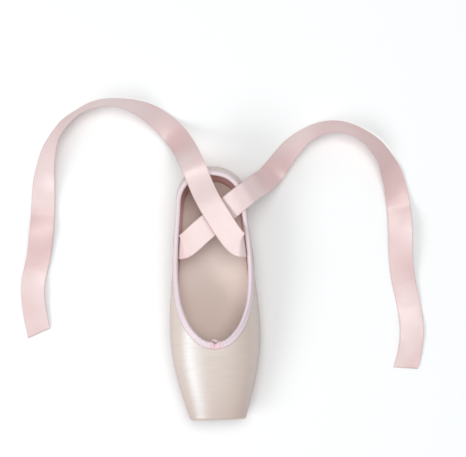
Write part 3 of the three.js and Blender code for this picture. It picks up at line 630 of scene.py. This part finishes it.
class Finish:
    """One material, whose nodes are made by one method."""

    def __init__(self, name, roughness, specular=0.5, sheen=0.0, sheen_tint=WHITE, density=1.5, gleam=WHITE):
        self.material = bpy.data.materials.new(name)
        self.material.use_nodes = True
        self.tree = self.material.node_tree
        self.shader = self.tree.nodes["Principled BSDF"]
        constants = {
            "Roughness": roughness,
            "Specular IOR Level": specular,
            "Specular Tint": (*gleam, 1),
            "IOR": density,
            "Sheen Weight": sheen,
            "Sheen Roughness": SHEEN_ROUGHNESS,
            "Sheen Tint": (*sheen_tint, 1),
        }
        for socket, value in constants.items():
            self.shader.inputs[socket].default_value = value

    def node(self, kind, settings, *inputs, output=0):
        """A node with its settings, and its sockets filled in order. None leaves a socket alone."""
        made = self.tree.nodes.new(kind)
        for name, setting in settings.items():
            setattr(made, name, setting)
        for socket, value in zip(made.inputs, inputs):
            if isinstance(value, Value):
                self.tree.links.new(value.socket, socket)
            elif value is not None:
                socket.default_value = value
        return Value(self, made.outputs[output])

    def place(self, x=1.0, y=None, z=None):
        """Object coordinates in millimetres, times a number for each axis, or one number for all three."""
        coordinates = self.node("ShaderNodeTexCoord", {}, output=3)
        factor = (1000 * x, 1000 * (x if y is None else y), 1000 * (x if z is None else z))
        return self.node("ShaderNodeVectorMath", {"operation": "MULTIPLY"}, coordinates, factor)

    def split(self, vector):
        parts = self.node("ShaderNodeSeparateXYZ", {}, vector)
        return [Value(self, socket) for socket in parts.socket.node.outputs]

    def axes(self):
        """x, y and z in millimetres from the origin."""
        return self.split(self.place())

    def lie(self):
        """The piece's own map: millimetres round or along it, and millimetres across it."""
        return self.split(self.node("ShaderNodeUVMap", {"uv_map": "lie"}))[:2]

    def zone(self, name):
        return self.node("ShaderNodeAttribute", {"attribute_name": name}, output=2)

    def noise(self, place, detail=3.0, roughness=0.5):
        return self.node("ShaderNodeTexNoise", {}, place, None, 1.0, detail, roughness)

    def blend(self, share, first, second):
        """A colour between two, by a share. The colour sockets are a Mix node's seventh and eighth."""
        ends = [end if isinstance(end, Value) else (*end, 1) for end in (first, second)]
        return self.node("ShaderNodeMix", {"data_type": "RGBA"}, share, *[None] * 5, *ends, output=2)

    def colour(self, colour):
        self.tree.links.new(colour.socket, self.shader.inputs["Base Color"])

    def roughness(self, value):
        self.tree.links.new(value.socket, self.shader.inputs["Roughness"])

    def relief(self, height, millimetres):
        """Raises the surface by a height times a number of millimetres."""
        bump = self.node("ShaderNodeBump", {}, 1.0, millimetres / 1000, None, height)
        self.tree.links.new(bump.socket, self.shader.inputs["Normal"])


def linear(code):
    """A colour from its six-figure code, as the light that it reflects."""
    shares = [int(code[i : i + 2], 16) / 255 for i in (0, 2, 4)]
    return tuple(s / 12.92 if s < 0.04045 else ((s + 0.055) / 1.055) ** 2.4 for s in shares)


def side_seam(y, z, width):
    """1 on the seam down each side, at a distance back from the shoe's middle."""
    return (y - (SIDE_SEAM - SHOE_LENGTH / 2) - (z - 20.0) * SEAM_LEAN).bell(width)


def shoe_satin():
    """Satin whose long fine floats run across the shoe, with faint slubs, pressed seams and painted shade."""
    finish = Finish("shoe_satin", 0.43, 0.8, density=2.3, gleam=(0.72, 0.91, 1.0))
    x, y, z = finish.axes()
    floats = finish.noise(finish.place(0.25, 2.6, 0.25), 2.0)
    slubs = finish.noise(finish.place(0.05, 0.42, 0.05), 3.0)
    clouds = finish.noise(finish.place(0.02, 0.012, 0.02), 2.0)
    seam = side_seam(y, z, 0.55) * (z - 4.0).step(0.0, 3.0)
    back = x.bell(0.5) * y.step(80.0, 90.0)
    # Painted shade: the pleats are darkened by the depth of their folds, standing in for the shade in them.
    pleat_shade = finish.zone("fold")
    tone = finish.blend(clouds, linear("D9BFAE"), linear("E1C7B6"))
    # Painted shade: darker and browner towards the sole, standing in for the shade on the lower walls.
    tone = finish.blend((1.0 - z.step(14.0, 42.0)) * 0.85, tone, linear("BC8C7B"))
    tone = finish.blend((slubs - 0.35).step(0.0, 0.4) * 0.24, tone, linear("C4AC9F"))
    tone = finish.blend((seam + back) * 0.45, tone, linear("A98C84"))
    tone = finish.blend(pleat_shade * 0.55, tone, linear("A88D84"))
    finish.colour(tone)
    finish.roughness(floats * 0.1 + slubs * 0.1 + 0.34)
    finish.relief(floats * 0.5 + slubs * 1.0 - seam * 9.0 - back * 9.0, 0.03)
    return finish.material


def casing_satin():
    """A bias strip gathered a little on its drawstring, so its satin puckers across the strip."""
    finish = Finish("casing_satin", 0.42, 0.5, 0.3, linear("FBE9EC"))
    round_rim, down = finish.lie()
    waver = finish.noise(finish.place(0.5), 2.0)
    puckers = finish.noise(finish.place(0.9, 0.9, 0.12), 2.0)
    weave = ((round_rim + down) * 9.0).sine()
    hem = (down - (HEM_DEPTH - 1.0)).bell(0.35)
    ends = finish.zone("ends")
    tone = finish.blend(waver, linear("DCCACE"), linear("E8D8DC"))
    tone = finish.blend(ends * 0.7, tone, linear("E9BEC2"))
    tone = finish.blend(hem * 0.35, tone, linear("B9949A"))
    finish.colour(tone)
    finish.roughness(puckers * 0.2 + 0.33)
    finish.relief(puckers * 3.0 + weave * 0.12 - hem * 4.0, 0.06)
    return finish.material


def ribbon_satin():
    """Single-faced satin ribbon: fine threads across it, a woven edge at each side, and a slight waviness."""
    finish = Finish("ribbon_satin", 0.34, 0.7, 0.15, linear("FFEDEA"), 1.6)
    length, across = finish.lie()
    threads = (across * 16.0).sine() * 0.5 + (length * 21.0).sine() * 0.35
    edge = (abs(across) - (RIBBON_WIDTH / 2 - 0.6)).step(-0.15, 0.15)
    handled = finish.noise(finish.place(0.06), 3.0)
    slubs = finish.noise(finish.place(0.8), 2.0)
    faded = finish.noise(finish.place(0.016), 1.0)
    tone = finish.blend(faded.step(0.35, 0.65), linear("DCBAB8"), linear("E6CDCB"))
    tone = finish.blend(edge * 0.5, tone, linear("CFA19E"))
    finish.colour(tone)
    finish.roughness(handled * 0.14 + slubs * 0.06 + 0.25)
    finish.relief(threads * 0.25 + handled * 10.0 + slubs * 0.5 + edge * 1.2, 0.05)
    return finish.material


def lining_canvas():
    """Pale pink cotton lining in a plain weave, a little darker inside the box, towards the toe."""
    finish = Finish("lining_canvas", 0.85, 0.25, 0.15, linear("F4DED8"))
    x, y, z = finish.axes()
    round_shoe, up = finish.lie()
    weave = (round_shoe * 7.0).sine() * (up * 7.0).sine()
    clouds = finish.noise(finish.place(0.05), 3.0)
    box = 1.0 - y.step(-56.0, -34.0)
    seam = side_seam(y, z, 0.5) + x.bell(0.5) * y.step(80.0, 90.0)
    tone = finish.blend(clouds, linear("D8ACA5"), linear("E4BFB7"))
    tone = finish.blend(seam * 0.5, tone, linear("A87A74"))
    tone = finish.blend(box * 0.4, tone, linear("C49C8A"))
    finish.colour(tone)
    finish.relief(weave * 0.5 + clouds * 2.0 - seam * 5.0, 0.08)
    return finish.material


def sock_cotton():
    """The insole's cotton sock: a fine twill, pressed and a little shiny under the ball and the heel."""
    finish = Finish("sock_cotton", 0.8, 0.3, 0.1, linear("F7EBE4"))
    x, y, _ = finish.axes()
    twill = ((x + y) * 5.5).sine() * 0.5 + ((x - y) * 2.1).sine() * 0.2
    clouds = finish.noise(finish.place(0.035), 3.0)
    pressed = ((y + 20.0).bell(26.0) * x.bell(24.0)) + ((y - 84.0).bell(18.0) * x.bell(16.0))
    tone = finish.blend(clouds, linear("E2D2C9"), linear("EDDFD6"))
    tone = finish.blend(pressed * 0.3, tone, linear("CDB5A6"))
    finish.colour(tone)
    finish.roughness(0.85 - pressed * 0.2)
    finish.relief(twill * 0.5 + clouds * 3.0, 0.06)
    return finish.material


def sole_leather():
    """Buffed sole leather: fine pores, faint scratches along the shoe, and a darker burnished edge."""
    finish = Finish("sole_leather", 0.62, 0.4)
    grain = finish.node("ShaderNodeTexVoronoi", {}, finish.place(1.3), None, 1.0)
    clouds = finish.noise(finish.place(0.06, 0.03, 0.06), 4.0, 0.6)
    scratches = finish.noise(finish.place(1.8, 0.06, 1.8), 2.0)
    edge = finish.zone("edge")
    channel = finish.zone("channel")
    tone = finish.blend(clouds, linear("BFA58D"), linear("D2BBA3"))
    tone = finish.blend(channel * 0.5, tone, linear("8E7462"))
    tone = finish.blend(scratches * 0.25, tone, linear("A98D76"))
    tone = finish.blend(edge * 0.7, tone, linear("8E6F59"))
    finish.colour(tone)
    finish.roughness(clouds * 0.2 + 0.5 - edge * 0.12)
    finish.relief(grain * 0.6 + scratches * 0.8 + clouds * 2.0 - channel * 2.5, 0.08)
    return finish.material


def thread(name, code):
    """Spun cotton thread, with its twist."""
    finish = Finish(name, 0.7, 0.3, 0.2)
    x, y, z = finish.axes()
    twist = ((x + y + z) * 14.0).sine()
    tone = finish.blend(twist * 0.5 + 0.5, linear(code), tuple(0.8 * value for value in linear(code)))
    finish.colour(tone)
    finish.relief(twist, 0.04)
    return finish.material


SATIN = shoe_satin()
CASING = casing_satin()
RIBBON = ribbon_satin()
LINING = lining_canvas()
SOCK = sock_cotton()
LEATHER = sole_leather()
PINK_THREAD = thread("pink_thread", "E5BFC0")


# Camera

VIEW_WIDTH = 0.433
CAMERA_PLACE = (0.0196, 0.0595, 1.4)
CAMERA_TURN = math.radians(-1.9)
SENSOR_WIDTH = 36
camera_data = bpy.data.cameras.new("camera")
camera_data.sensor_width = SENSOR_WIDTH
camera_data.lens = SENSOR_WIDTH * (CAMERA_PLACE[2] - WIDEST_HEIGHT / 1000) / VIEW_WIDTH
camera = placed("camera", camera_data)
camera.location = CAMERA_PLACE
camera.rotation_euler = (0, 0, CAMERA_TURN)
bpy.context.scene.camera = camera


# Ribbons


def ribbon_line(route, at):
    """The ribbon's middle, its width's direction and its face's direction, at row numbers of its route.

    Splines carry each column of the route. The width is level and square to the run, but along the wall at
    the sewn end, and is then turned about the run by the roll.
    """
    route_at = path_through(route)
    place = route_at(at)
    run = unit(route_at(at + 0.05)[..., :3] - route_at(at - 0.05)[..., :3])
    sewn = unit(np.array([-WALL_TAPER, math.copysign(1, route[0][0]), 0]))
    flat = grid_of(run[..., 1], -run[..., 0], np.zeros_like(at))
    across = unit(mix(sewn, unit(flat), ease(at, 2, 5.5)[..., None]))
    across = unit(across - run * np.sum(across * run, axis=-1, keepdims=True))
    above = unit(np.cross(across, run))
    roll = np.radians(place[..., 3:])
    across = across * np.cos(roll) + above * np.sin(roll)
    middle = place[..., :3]
    middle[..., 2] += 0.3 + RIBBON_WIDTH / 2 * np.abs(across[..., 2])
    return middle, across, unit(np.cross(across, run))


def ribbon_piece(name, node, route):
    """A strip swept along its route: a thin section with rounded edges, cupped and rippled along its run."""
    steps = 420
    middle, across, face = ribbon_line(route, np.linspace(0, len(route) - 1, steps))
    travelled = running_total(length_of(np.diff(middle, axis=0)))
    turn = np.linspace(0, 2 * np.pi, 36, endpoint=False)
    sideways = (np.sign(np.cos(turn)) * (1 - (1 - np.abs(np.cos(turn))) ** 1.6))[None, :]
    up = (RIBBON_THICKNESS / 2 * np.sign(np.sin(turn)) * np.abs(np.sin(turn)) ** 0.3)[None, :]
    far = travelled[:, None]
    loose = ease(far, 90, 150)
    cup = 0.55 * (sideways**2 - 0.35) * np.sin(far / 37) * loose
    ripple = 0.3 * np.sin(far / 6.1 + 1.3 * np.sin(far / 23)) * sideways**3 * loose
    slant = 2.5 * ease(far, travelled[-1] - 12, travelled[-1]) * sideways
    lift = up + cup + ripple + 0.25 * loose
    upward = np.sign(face[:, None, 2:] + 1e-9)
    point = (
        middle[:, None, :]
        + across[:, None, :] * sideways[..., None] * RIBBON_WIDTH / 2
        + face[:, None, :] * lift[..., None] * upward
        + np.cross(face, across)[:, None, :] * slant[..., None]
    )
    point[..., 2] = np.maximum(point[..., 2], 0.15)
    uv = grid_of(far, sideways * RIBBON_WIDTH / 2)
    piece = grid_mesh(name, point / 1000, uv=uv)
    finished(piece, "ribbon_satin", node, RIBBON)
    path = middle[np.linspace(0, steps - 1, 38).round().astype(int)] / 1000
    tuple(float(value) for value in middle[0] / 1000)


ribbon_piece("ribbon_over", "ribbon_right", RIBBON_RIGHT)
ribbon_piece("ribbon_under", "ribbon_left", RIBBON_LEFT)


# Upper

# Depths of the pleats and how far the satin rises or sinks elsewhere, in millimetres, with the pleats' pitch
# in ribs, and the place back from the platform where a wing begins
TOE_PLEAT = 1.15
HEEL_PLEAT = 0.6
TOE_PLEAT_PITCH = 5.6
HEEL_PLEAT_PITCH = 4.6
WING_FOOT = 62.0
SEAM_RISE = 0.16
BACK_SEAM_RISE = 0.14
WING_RISE = 0.12
CREASE_RISE = 0.2
GATHER_RISE = 0.07
DRAG_RISE = 0.22
SAG_RISE = 0.4
BROAD_RISE = 0.16


def pleats(steps, pitch, sharpness):
    """Folded pleats along a row of steps: each climbs slowly and then drops, and no two are quite alike."""
    wander = 0.9 * np.sin(steps / 7.3 + 0.8) + 0.5 * np.sin(steps / 3.1)
    share = np.mod((steps + wander) / pitch, 1)
    climb = (share / sharpness) ** 1.5
    drop = (1 - share) / (1 - sharpness)
    return np.minimum(climb, drop)


def upper():
    """The shell: satin outside, round the rim, and lining inside.

    The satin is pressed in by pleats where the toe's and the heel's edges are drawn in under the sole. It
    stands up a little at the side seams, the back seam, the wings and the platform's crease, and slackens at
    the waist.
    """
    count = 560
    outer_rows = 96
    ribs = Ribs(count, EDGE_ROUNDING)
    angles, down, total = ribs.rows(outer_rows)
    skin = ribs.surface(angles)
    normal = ribs.normals(skin)
    number = np.arange(count)
    signed = np.where(number > count / 2, number - count, number)[:, None].astype(float)
    x, along, height = skin[..., 0], skin[..., 1], skin[..., 2]
    from_collar = total - down

    reach = 20 + 5 * np.sin(signed * 0.9) + 3 * np.sin(signed * 2.3)
    toe_fold = pleats(signed, TOE_PLEAT_PITCH, 0.72) * ease(66 - np.abs(signed), 0, 16)
    toe_fold = toe_fold * ease(down, reach, reach * 0.25) * ease(down, 0, 1.5)
    toe_fold = toe_fold * ease(height, PLATFORM_FOOT + 7, PLATFORM_FOOT + 1)
    heel_step = np.abs(np.abs(signed) - count / 2)
    heel_fold = pleats(heel_step, HEEL_PLEAT_PITCH, 0.65) * ease(heel_step, 34, 22)
    heel_fold = heel_fold * ease(down, 13, 3) * ease(height, 9, 4)
    seam = bell(along - SIDE_SEAM - (height - 20) * SEAM_LEAN, 0.9) * ease(height, 3, 7)
    back_seam = bell(x, 0.7) * ease(along, BACK_SEAM, BACK_SEAM + 10)
    wing = bell(along - WING_FOOT - 26 * ease(height, 38, 12) + 0.02 * x * x, 2.4) * ease(height, 8, 16)
    from_platform = along - (height - PLATFORM_FOOT) * math.tan(PLATFORM_LEAN)
    crease = bell(from_platform - 2.9, 0.8) - 0.9 * bell(from_platform - 4.6, 0.7)
    crease = crease * (0.3 + 0.7 * ease(np.abs(x), 25, 17))
    gather = np.sin(signed * 0.83 + 2.6 * np.sin(signed / 4.1))
    gather = gather * np.exp(-np.maximum(from_collar - 4, 0) / 3.2)
    slack = ease(along, 88, 130) * ease(height, 6, 16) * ease(from_collar, 2, 10)
    drag = np.sin((along + 0.9 * height) / 4.3 + 1.6 * np.sin(along / 19.0 + np.sign(x)))
    sag = np.sin((along - 0.5 * height) / 10.0 + 2.0 * np.sin(x / 14.0 + height / 21.0))
    broad = np.sin(along / 21 + 1.7 * np.sin(x / 23)) * np.sin(height / 9 + x / 17)

    press = -TOE_PLEAT * toe_fold - HEEL_PLEAT * heel_fold
    press = press + SEAM_RISE * seam + BACK_SEAM_RISE * back_seam + WING_RISE * wing + CREASE_RISE * crease
    press = press + GATHER_RISE * gather + slack * (DRAG_RISE * drag + SAG_RISE * sag) + BROAD_RISE * broad
    outer = skin + normal * press[..., None]

    inner_ribs = Ribs(count, LINING_ROUNDING)
    inner_rows = 40
    inner_angles, inner_down, _ = inner_ribs.rows(inner_rows)
    lining = inner_ribs.surface(inner_angles)
    lining = lining - inner_ribs.normals(lining) * wall_at(lining[..., 1])[..., None]

    middle_row = skin[:, 40]
    round_step = length_of(np.roll(middle_row, -1, axis=0) - middle_row)
    perimeter = np.cumsum(round_step) - round_step
    # fold carries the pleats' depth, from which the satin paints shade into them.
    fold = np.clip(toe_fold + heel_fold, 0, 1) ** 2
    piece = grid_mesh(
        "upper_shell",
        to_row(there_and_back(outer, lining)),
        closed=True,
        uv=grid_of(perimeter[:, None], there_and_back(down, inner_down)),
        period=np.sum(round_step),
        slots=[0] * (outer_rows - 1) + [1] * (inner_rows + 1),
        zones={"fold": there_and_back(fold, np.zeros(lining.shape[:2]))},
    )
    finished(piece, "satin", "upper", SATIN, LINING)


upper()


# Casing round the collar

# A stitch's length and width, in metres
CASING_STITCH = (0.0019, 0.00042)
SEWN_STITCH = (0.0016, 0.0004)


def stitch_row(name, slot, centre, run, face, length, width):
    """Short stitches: each a rounded bead drawn out along the row, six sides round and five long."""
    share = np.linspace(-1, 1, 6)[None, :, None, None]
    thick = np.sqrt(np.maximum(1 - share**4, 0.02)) * width / 2
    turn = np.linspace(0, 2 * np.pi, 6, endpoint=False)[None, None, :, None]
    centre, run, face = (rows[:, None, None, :] for rows in (centre, run, face))
    side = np.cross(face, run)
    ring = centre + run * share * length / 2 + side * (np.cos(turn) * thick) + face * (np.sin(turn) * thick)
    count = len(centre)
    number = np.arange(count * 36).reshape(count, 6, 6)
    a, b = number[:, :-1, :], np.roll(number, -1, axis=2)[:, :-1, :]
    c, d = np.roll(number, -1, axis=2)[:, 1:, :], number[:, 1:, :]
    sides = np.stack([a, d, c, b], axis=-1).reshape(-1, 4)
    ends = np.concatenate([number[:, 0, :], number[:, -1, ::-1]])
    mesh = bpy.data.meshes.new(name)
    mesh.from_pydata(ring.reshape(-1, 3).tolist(), [], sides.tolist() + ends.tolist())
    mesh.polygons.foreach_set("use_smooth", np.ones(len(mesh.polygons), bool))
    finished(placed(name, mesh), slot, None, PINK_THREAD)


def casing():
    """A folded strip over the collar's edge: outer face, a roll over the drawstring, inner face and hem.

    At the throat's middle both ends turn in to a small notch, where the drawstring comes out.
    """
    count = 640
    ribs = Ribs(count, EDGE_ROUNDING)
    depths = np.array([HEM_DEPTH, 4.3, 3.6, 2.8, 1.9, 0.9, 0.0])
    angles = ribs.from_collar(depths)
    face = ribs.surface(angles)
    normal = ribs.normals(face)
    wall = wall_at(face[..., 1])
    rim, rim_out = face[:, -1], normal[:, -1]
    down = unit(face[:, -3] - rim)
    thick = wall[:, -1] + 2 * (FIT_GAP + CASING_WALL)
    middle = rim - rim_out * (wall[:, -1] / 2)[:, None]
    arc = np.linspace(0, np.pi, 13)[1:-1]
    roll = (
        middle[:, None, :]
        + rim_out[:, None, :] * np.cos(arc)[None, :, None] * (thick / 2 + 0.15)[:, None, None]
        - down[:, None, :] * (np.sin(arc) * 1.35)[None, :, None]
    )
    puff = FIT_GAP + CASING_WALL * np.array([0.55, 0.85, 0.75, 0.62, 0.7, 0.85, 0.9])
    outer = face + normal * puff[None, :, None]
    inner = face - normal * (wall + puff[None, :])[..., None]
    inner_hem = face[:, 0] - normal[:, 0] * (wall[:, 0] + 0.12)[:, None]
    outer_hem = face[:, 0] + normal[:, 0] * 0.12
    ring = np.concatenate([outer_hem[:, None], outer, roll, inner[:, ::-1], inner_hem[:, None]], axis=1)
    columns = ring.shape[1]
    perimeter = running_total(length_of(np.diff(rim, axis=0)))
    total = perimeter[-1] + length_of(rim[0] - rim[-1])
    from_notch = np.minimum(perimeter, total - perimeter)
    pucker = np.sin(perimeter * 2.1 + 2.0 * np.sin(perimeter / 5.3)) + 0.6 * np.sin(perimeter * 3.4 + 1.0)
    outwards = unit(ring - np.mean(ring, axis=1, keepdims=True))
    gather = (0.07 + 0.1 * bell(from_notch, 14)) * pucker
    climb = np.linspace(0.2, 1, 7)
    roll_share = np.concatenate([[0], climb, np.ones(11), climb[::-1], [0]])[None, :]
    ring = ring + outwards * (gather[:, None] * roll_share)[..., None]
    notch = bell(from_notch, 1.7)[:, None] * roll_share
    lobe = bell(from_notch - 3.4, 2.2)[:, None] * roll_share
    ring[..., 2] += -1.15 * notch + 0.35 * lobe
    ring[..., 1] += -1.5 * notch + 0.5 * lobe
    depth = np.interp(np.arange(columns), [0, 7, columns - 8, columns - 1], [HEM_DEPTH, 0, 0, HEM_DEPTH])
    uv = grid_of(perimeter[:, None], depth[None, :])
    ends = np.broadcast_to(bell(np.maximum(from_notch - 2.5, 0), 2.5)[:, None], ring.shape[:2])
    piece = grid_mesh("casing_strip", to_row(ring), closed=True, uv=uv, period=total, zones={"ends": ends})
    finished(piece, "casing_satin", "topline_binding", CASING)

    def round_collar(rows, at):
        looped = np.concatenate([rows, rows[:1]])
        order = np.concatenate([perimeter, [total]])
        return grid_of(*[np.interp(at, order, column) for column in looped.T])

    places = np.arange(3.5, total - 3.5, CASING_STITCH_PITCH)
    line = face[:, 1] + normal[:, 1] * (puff[1] + 0.02)
    spot = round_collar(line, places)
    run = unit(round_collar(line, places + 0.5) - spot)
    up = round_collar(normal[:, 1], places)
    stitch_row("casing_stitches", "casing_satin", to_row(spot), run, up, *CASING_STITCH)


casing()


# Insole and outsole

CHANNEL_INSET = 4.6
# Shares of a plate's half width, closer together at its edges
PLATE_SHARES = np.sin(np.linspace(-np.pi / 2, np.pi / 2, 41))[None, :]


def stations(start, end, count):
    """A column of places from one end of a plate to the other, closer together at both ends."""
    return mix(start, end, (1 - np.cos(np.linspace(0, np.pi, count))) / 2)[:, None]


def insole():
    """The insole board in its sock: a plate on the upper's turned-in edge, rounded at its rim and crowned.

    The shank's board under it fills the opening between the outsole's edges.
    """
    along = stations(INSOLE_START + 0.6, INSOLE_END - 0.6, 150)
    from_front = np.clip((along - INSOLE_START) / (PLATFORM_WIDTH / 2), 0, 1)
    from_back = np.clip((INSOLE_END - along) / (HEEL_WIDTH / 2 - INSOLE_MARGIN), 0, 1)
    ends = rounded_end(from_front) * rounded_end(from_back)
    x = (side_at(along) - INSOLE_MARGIN - (wall_at(along) - UPPER_WALL)) * ends * PLATE_SHARES
    bed = beside_underside(x, along, wall_at(along) + BED_GAP)
    round_edge = (1 - np.abs(PLATE_SHARES) ** 14) * ends**0.15
    ripple = 0.12 * np.sin(along / 7 + x / 11) * np.sin(x / 6.0)
    top = bed + 0.25 + (INSOLE_THICKNESS - 0.25 + ripple) * round_edge
    ring = there_and_back(grid_of(x, along, top), grid_of(x, along, bed))
    finished(grid_mesh("insole_sock", to_row(ring)), "insole_lining", "insole", SOCK)

    along = stations(OUTSOLE_START + 8.4, OUTSOLE_END - 8.4, 60)
    half = np.maximum(outsole_half(along, LASTING_MARGIN + 2 * FIT_GAP), 0.4)
    x = half * np.linspace(-1, 1, 9)
    top = beside_underside(x, along, wall_at(along) + BED_GAP) + 0.4
    ring = there_and_back(grid_of(x, along, top), grid_of(x, along, underside_at(x, along)))
    finished(grid_mesh("insole_shank", to_row(ring)), "insole_lining", None, SOCK)


insole()


def outsole():
    """The outsole: a flat plate with a bevelled, burnished edge, shaved at its rim, that meets the upper."""
    along = stations(OUTSOLE_START + 0.9, OUTSOLE_END - 0.9, 170)
    half = outsole_half(along)
    x_low = np.maximum(half - 1.2, 0.5) * PLATE_SHARES
    x_top = half * PLATE_SHARES
    low = sole_lift(along) + 0.25 * np.abs(PLATE_SHARES) ** 18
    top = np.maximum(beside_underside(x_top, along, -FIT_GAP) - 0.05, low + 0.1)
    ring = there_and_back(grid_of(x_low, along, low), grid_of(x_top, along, top))
    from_end = np.minimum(along - OUTSOLE_START, OUTSOLE_END - along)
    edge = np.maximum(ease(np.abs(PLATE_SHARES), 0.93, 1.0), 1 - ease(from_end, 0.5, 3.5))
    channel = bell(np.minimum(half - np.abs(x_low), from_end) - CHANNEL_INSET, 0.6)
    zones = {
        "edge": there_and_back(edge, np.ones_like(edge)),
        "channel": there_and_back(channel, np.zeros_like(channel)),
    }
    piece = grid_mesh("outsole_leather", to_row(ring), zones=zones)
    finished(piece, "sole_leather", "outsole", LEATHER)


outsole()


# The knot and the sewn ends of the ribbons

KNOT_LOOPS = [
    (-3.0, 0.3, -0.3), (-1.4, 0.9, 0.5), (0.2, 0.7, 1.0), (1.3, -0.1, 0.7),
    (1.2, -0.8, -0.3), (0.0, -0.7, -0.9), (-1.1, 0.0, -0.6), (-1.0, 0.8, 0.5),
    (0.1, 0.3, 1.0), (0.9, -0.7, 0.4), (1.6, -0.2, -0.5), (3.0, 0.4, -0.4),
]


def knot():
    """The drawstring's knot: a circle carried along a looped spline, with its ends drawn to a tip."""
    centre = np.mean(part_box("drawstring_knot"), axis=0) * 1000
    points = centre + np.array(KNOT_LOOPS) * 1.02
    at = np.linspace(0, len(points) - 1, 90)
    middle = path_through(points)(at)
    run = unit(np.gradient(middle, axis=0))
    side = unit(np.cross(run, np.array([0.31, 0.24, 0.92])))
    up = np.cross(side, run)
    turn = np.linspace(0, 2 * np.pi, 12, endpoint=False)[None, :, None]
    tip = np.sqrt(np.clip(np.minimum(at, len(points) - 1 - at) * 6, 0.05, 1))
    radius = (0.5 * tip)[:, None, None]
    ring = middle[:, None] + side[:, None] * (np.cos(turn) * radius) + up[:, None] * (np.sin(turn) * radius)
    piece = grid_mesh("drawstring_tie", ring / 1000)
    finished(piece, "casing_satin", "drawstring_knot", CASING)


knot()


def ribbon_tab(side, name, node):
    """A ribbon's sewn end against the lining, thicker at its foot, with a box of stitches through it."""
    run = np.linspace(-1, 1, 25)[:, None]
    up = np.linspace(0, 1, 21)[None, :]
    along = TAB_ALONG + RIBBON_WIDTH / 2 * run
    z = TAB_TOP - TAB_HEIGHT * (1 - up)
    wall = side_at_height(along, z) - wall_at(along)
    thick = 0.45 + 0.12 * np.sin(run * 9) * np.sin(up * 5) + 0.15 * (1 - up) ** 2
    back = grid_of(side * (wall - 0.18), along, z)
    front = grid_of(side * (wall - 0.3 - thick), along, z)
    uv = np.concatenate([grid_of(z, along - TAB_ALONG)] * 2, axis=1)
    piece = grid_mesh(name, to_row(there_and_back(back, front)), uv=uv)
    finished(piece, "ribbon_satin", node, RIBBON)

    rise = np.linspace(TAB_TOP - TAB_HEIGHT + 2.5, TAB_TOP - 2.8, 5)
    level = [(across, z) for z in (rise[0], rise[-1]) for across in np.linspace(-8.5, 8.5, 8)]
    upright = [(across, z) for across in (-9.3, 9.3) for z in rise[1:-1]]
    across, z = np.array(level + upright).T
    along = TAB_ALONG + across
    spot = grid_of(side * (side_at_height(along, z) - UPPER_WALL - 0.86), along, z)
    lengthways = unit(np.array([side * -WALL_TAPER, 1.0, 0.0]))
    stitches = np.array([lengthways] * len(level) + [(0.0, 0.0, 1.0)] * len(upright))
    face = np.broadcast_to(np.array([-side, -WALL_TAPER, 0.0]), spot.shape)
    stitch_row(name + "_stitches", "ribbon_satin", to_row(spot), stitches, face, *SEWN_STITCH)


ribbon_tab(1, "sewn_end_over", "ribbon_tab_right")
ribbon_tab(-1, "sewn_end_under", "ribbon_tab_left")


# Floor and light


def floor():
    bpy.ops.mesh.primitive_plane_add(size=8, location=(0, 0, -0.0002))
    plane = bpy.context.object
    plane.name = "studio_floor"
    finish = Finish("studio_floor", 0.9, 0.1)
    clouds = finish.noise(finish.place(0.001), 2.0)
    finish.colour(finish.blend(clouds, linear("F6F5F4"), linear("F8F7F6")))
    plane.data.materials.append(finish.material)


floor()


def area_light(name, place, aim, length, breadth, power, colour):
    """A rectangular lamp facing a point: its length lies level, square to the line to that point."""
    data = bpy.data.lights.new(name, "AREA")
    data.shape = "RECTANGLE"
    data.size = length
    data.size_y = breadth
    data.energy = power
    data.color = colour
    lamp = placed(name, data)
    lamp.location = place
    lamp.rotation_euler = (Vector(aim) - Vector(place)).to_track_quat("-Z", "Y").to_euler()


COOL = (0.965, 0.985, 1.0)
WARM = (1.0, 0.98, 0.955)
area_light("key", (-1.74, -1.1, 1.56), aim=(0, -0.05, 0), length=2.0, breadth=0.85, power=27.5, colour=COOL)
area_light("top", (0.2, 0.5, 2.6), aim=(0, 0, 0), length=1.9, breadth=1.6, power=38, colour=WARM)

world = bpy.data.worlds.new("studio")
world.use_nodes = True
background = world.node_tree.nodes["Background"]
background.inputs["Color"].default_value = (0.86, 0.94, 1.0, 1)
background.inputs["Strength"].default_value = 0.45
bpy.context.scene.world = world
bpy.context.scene.view_settings.view_transform = "Standard"
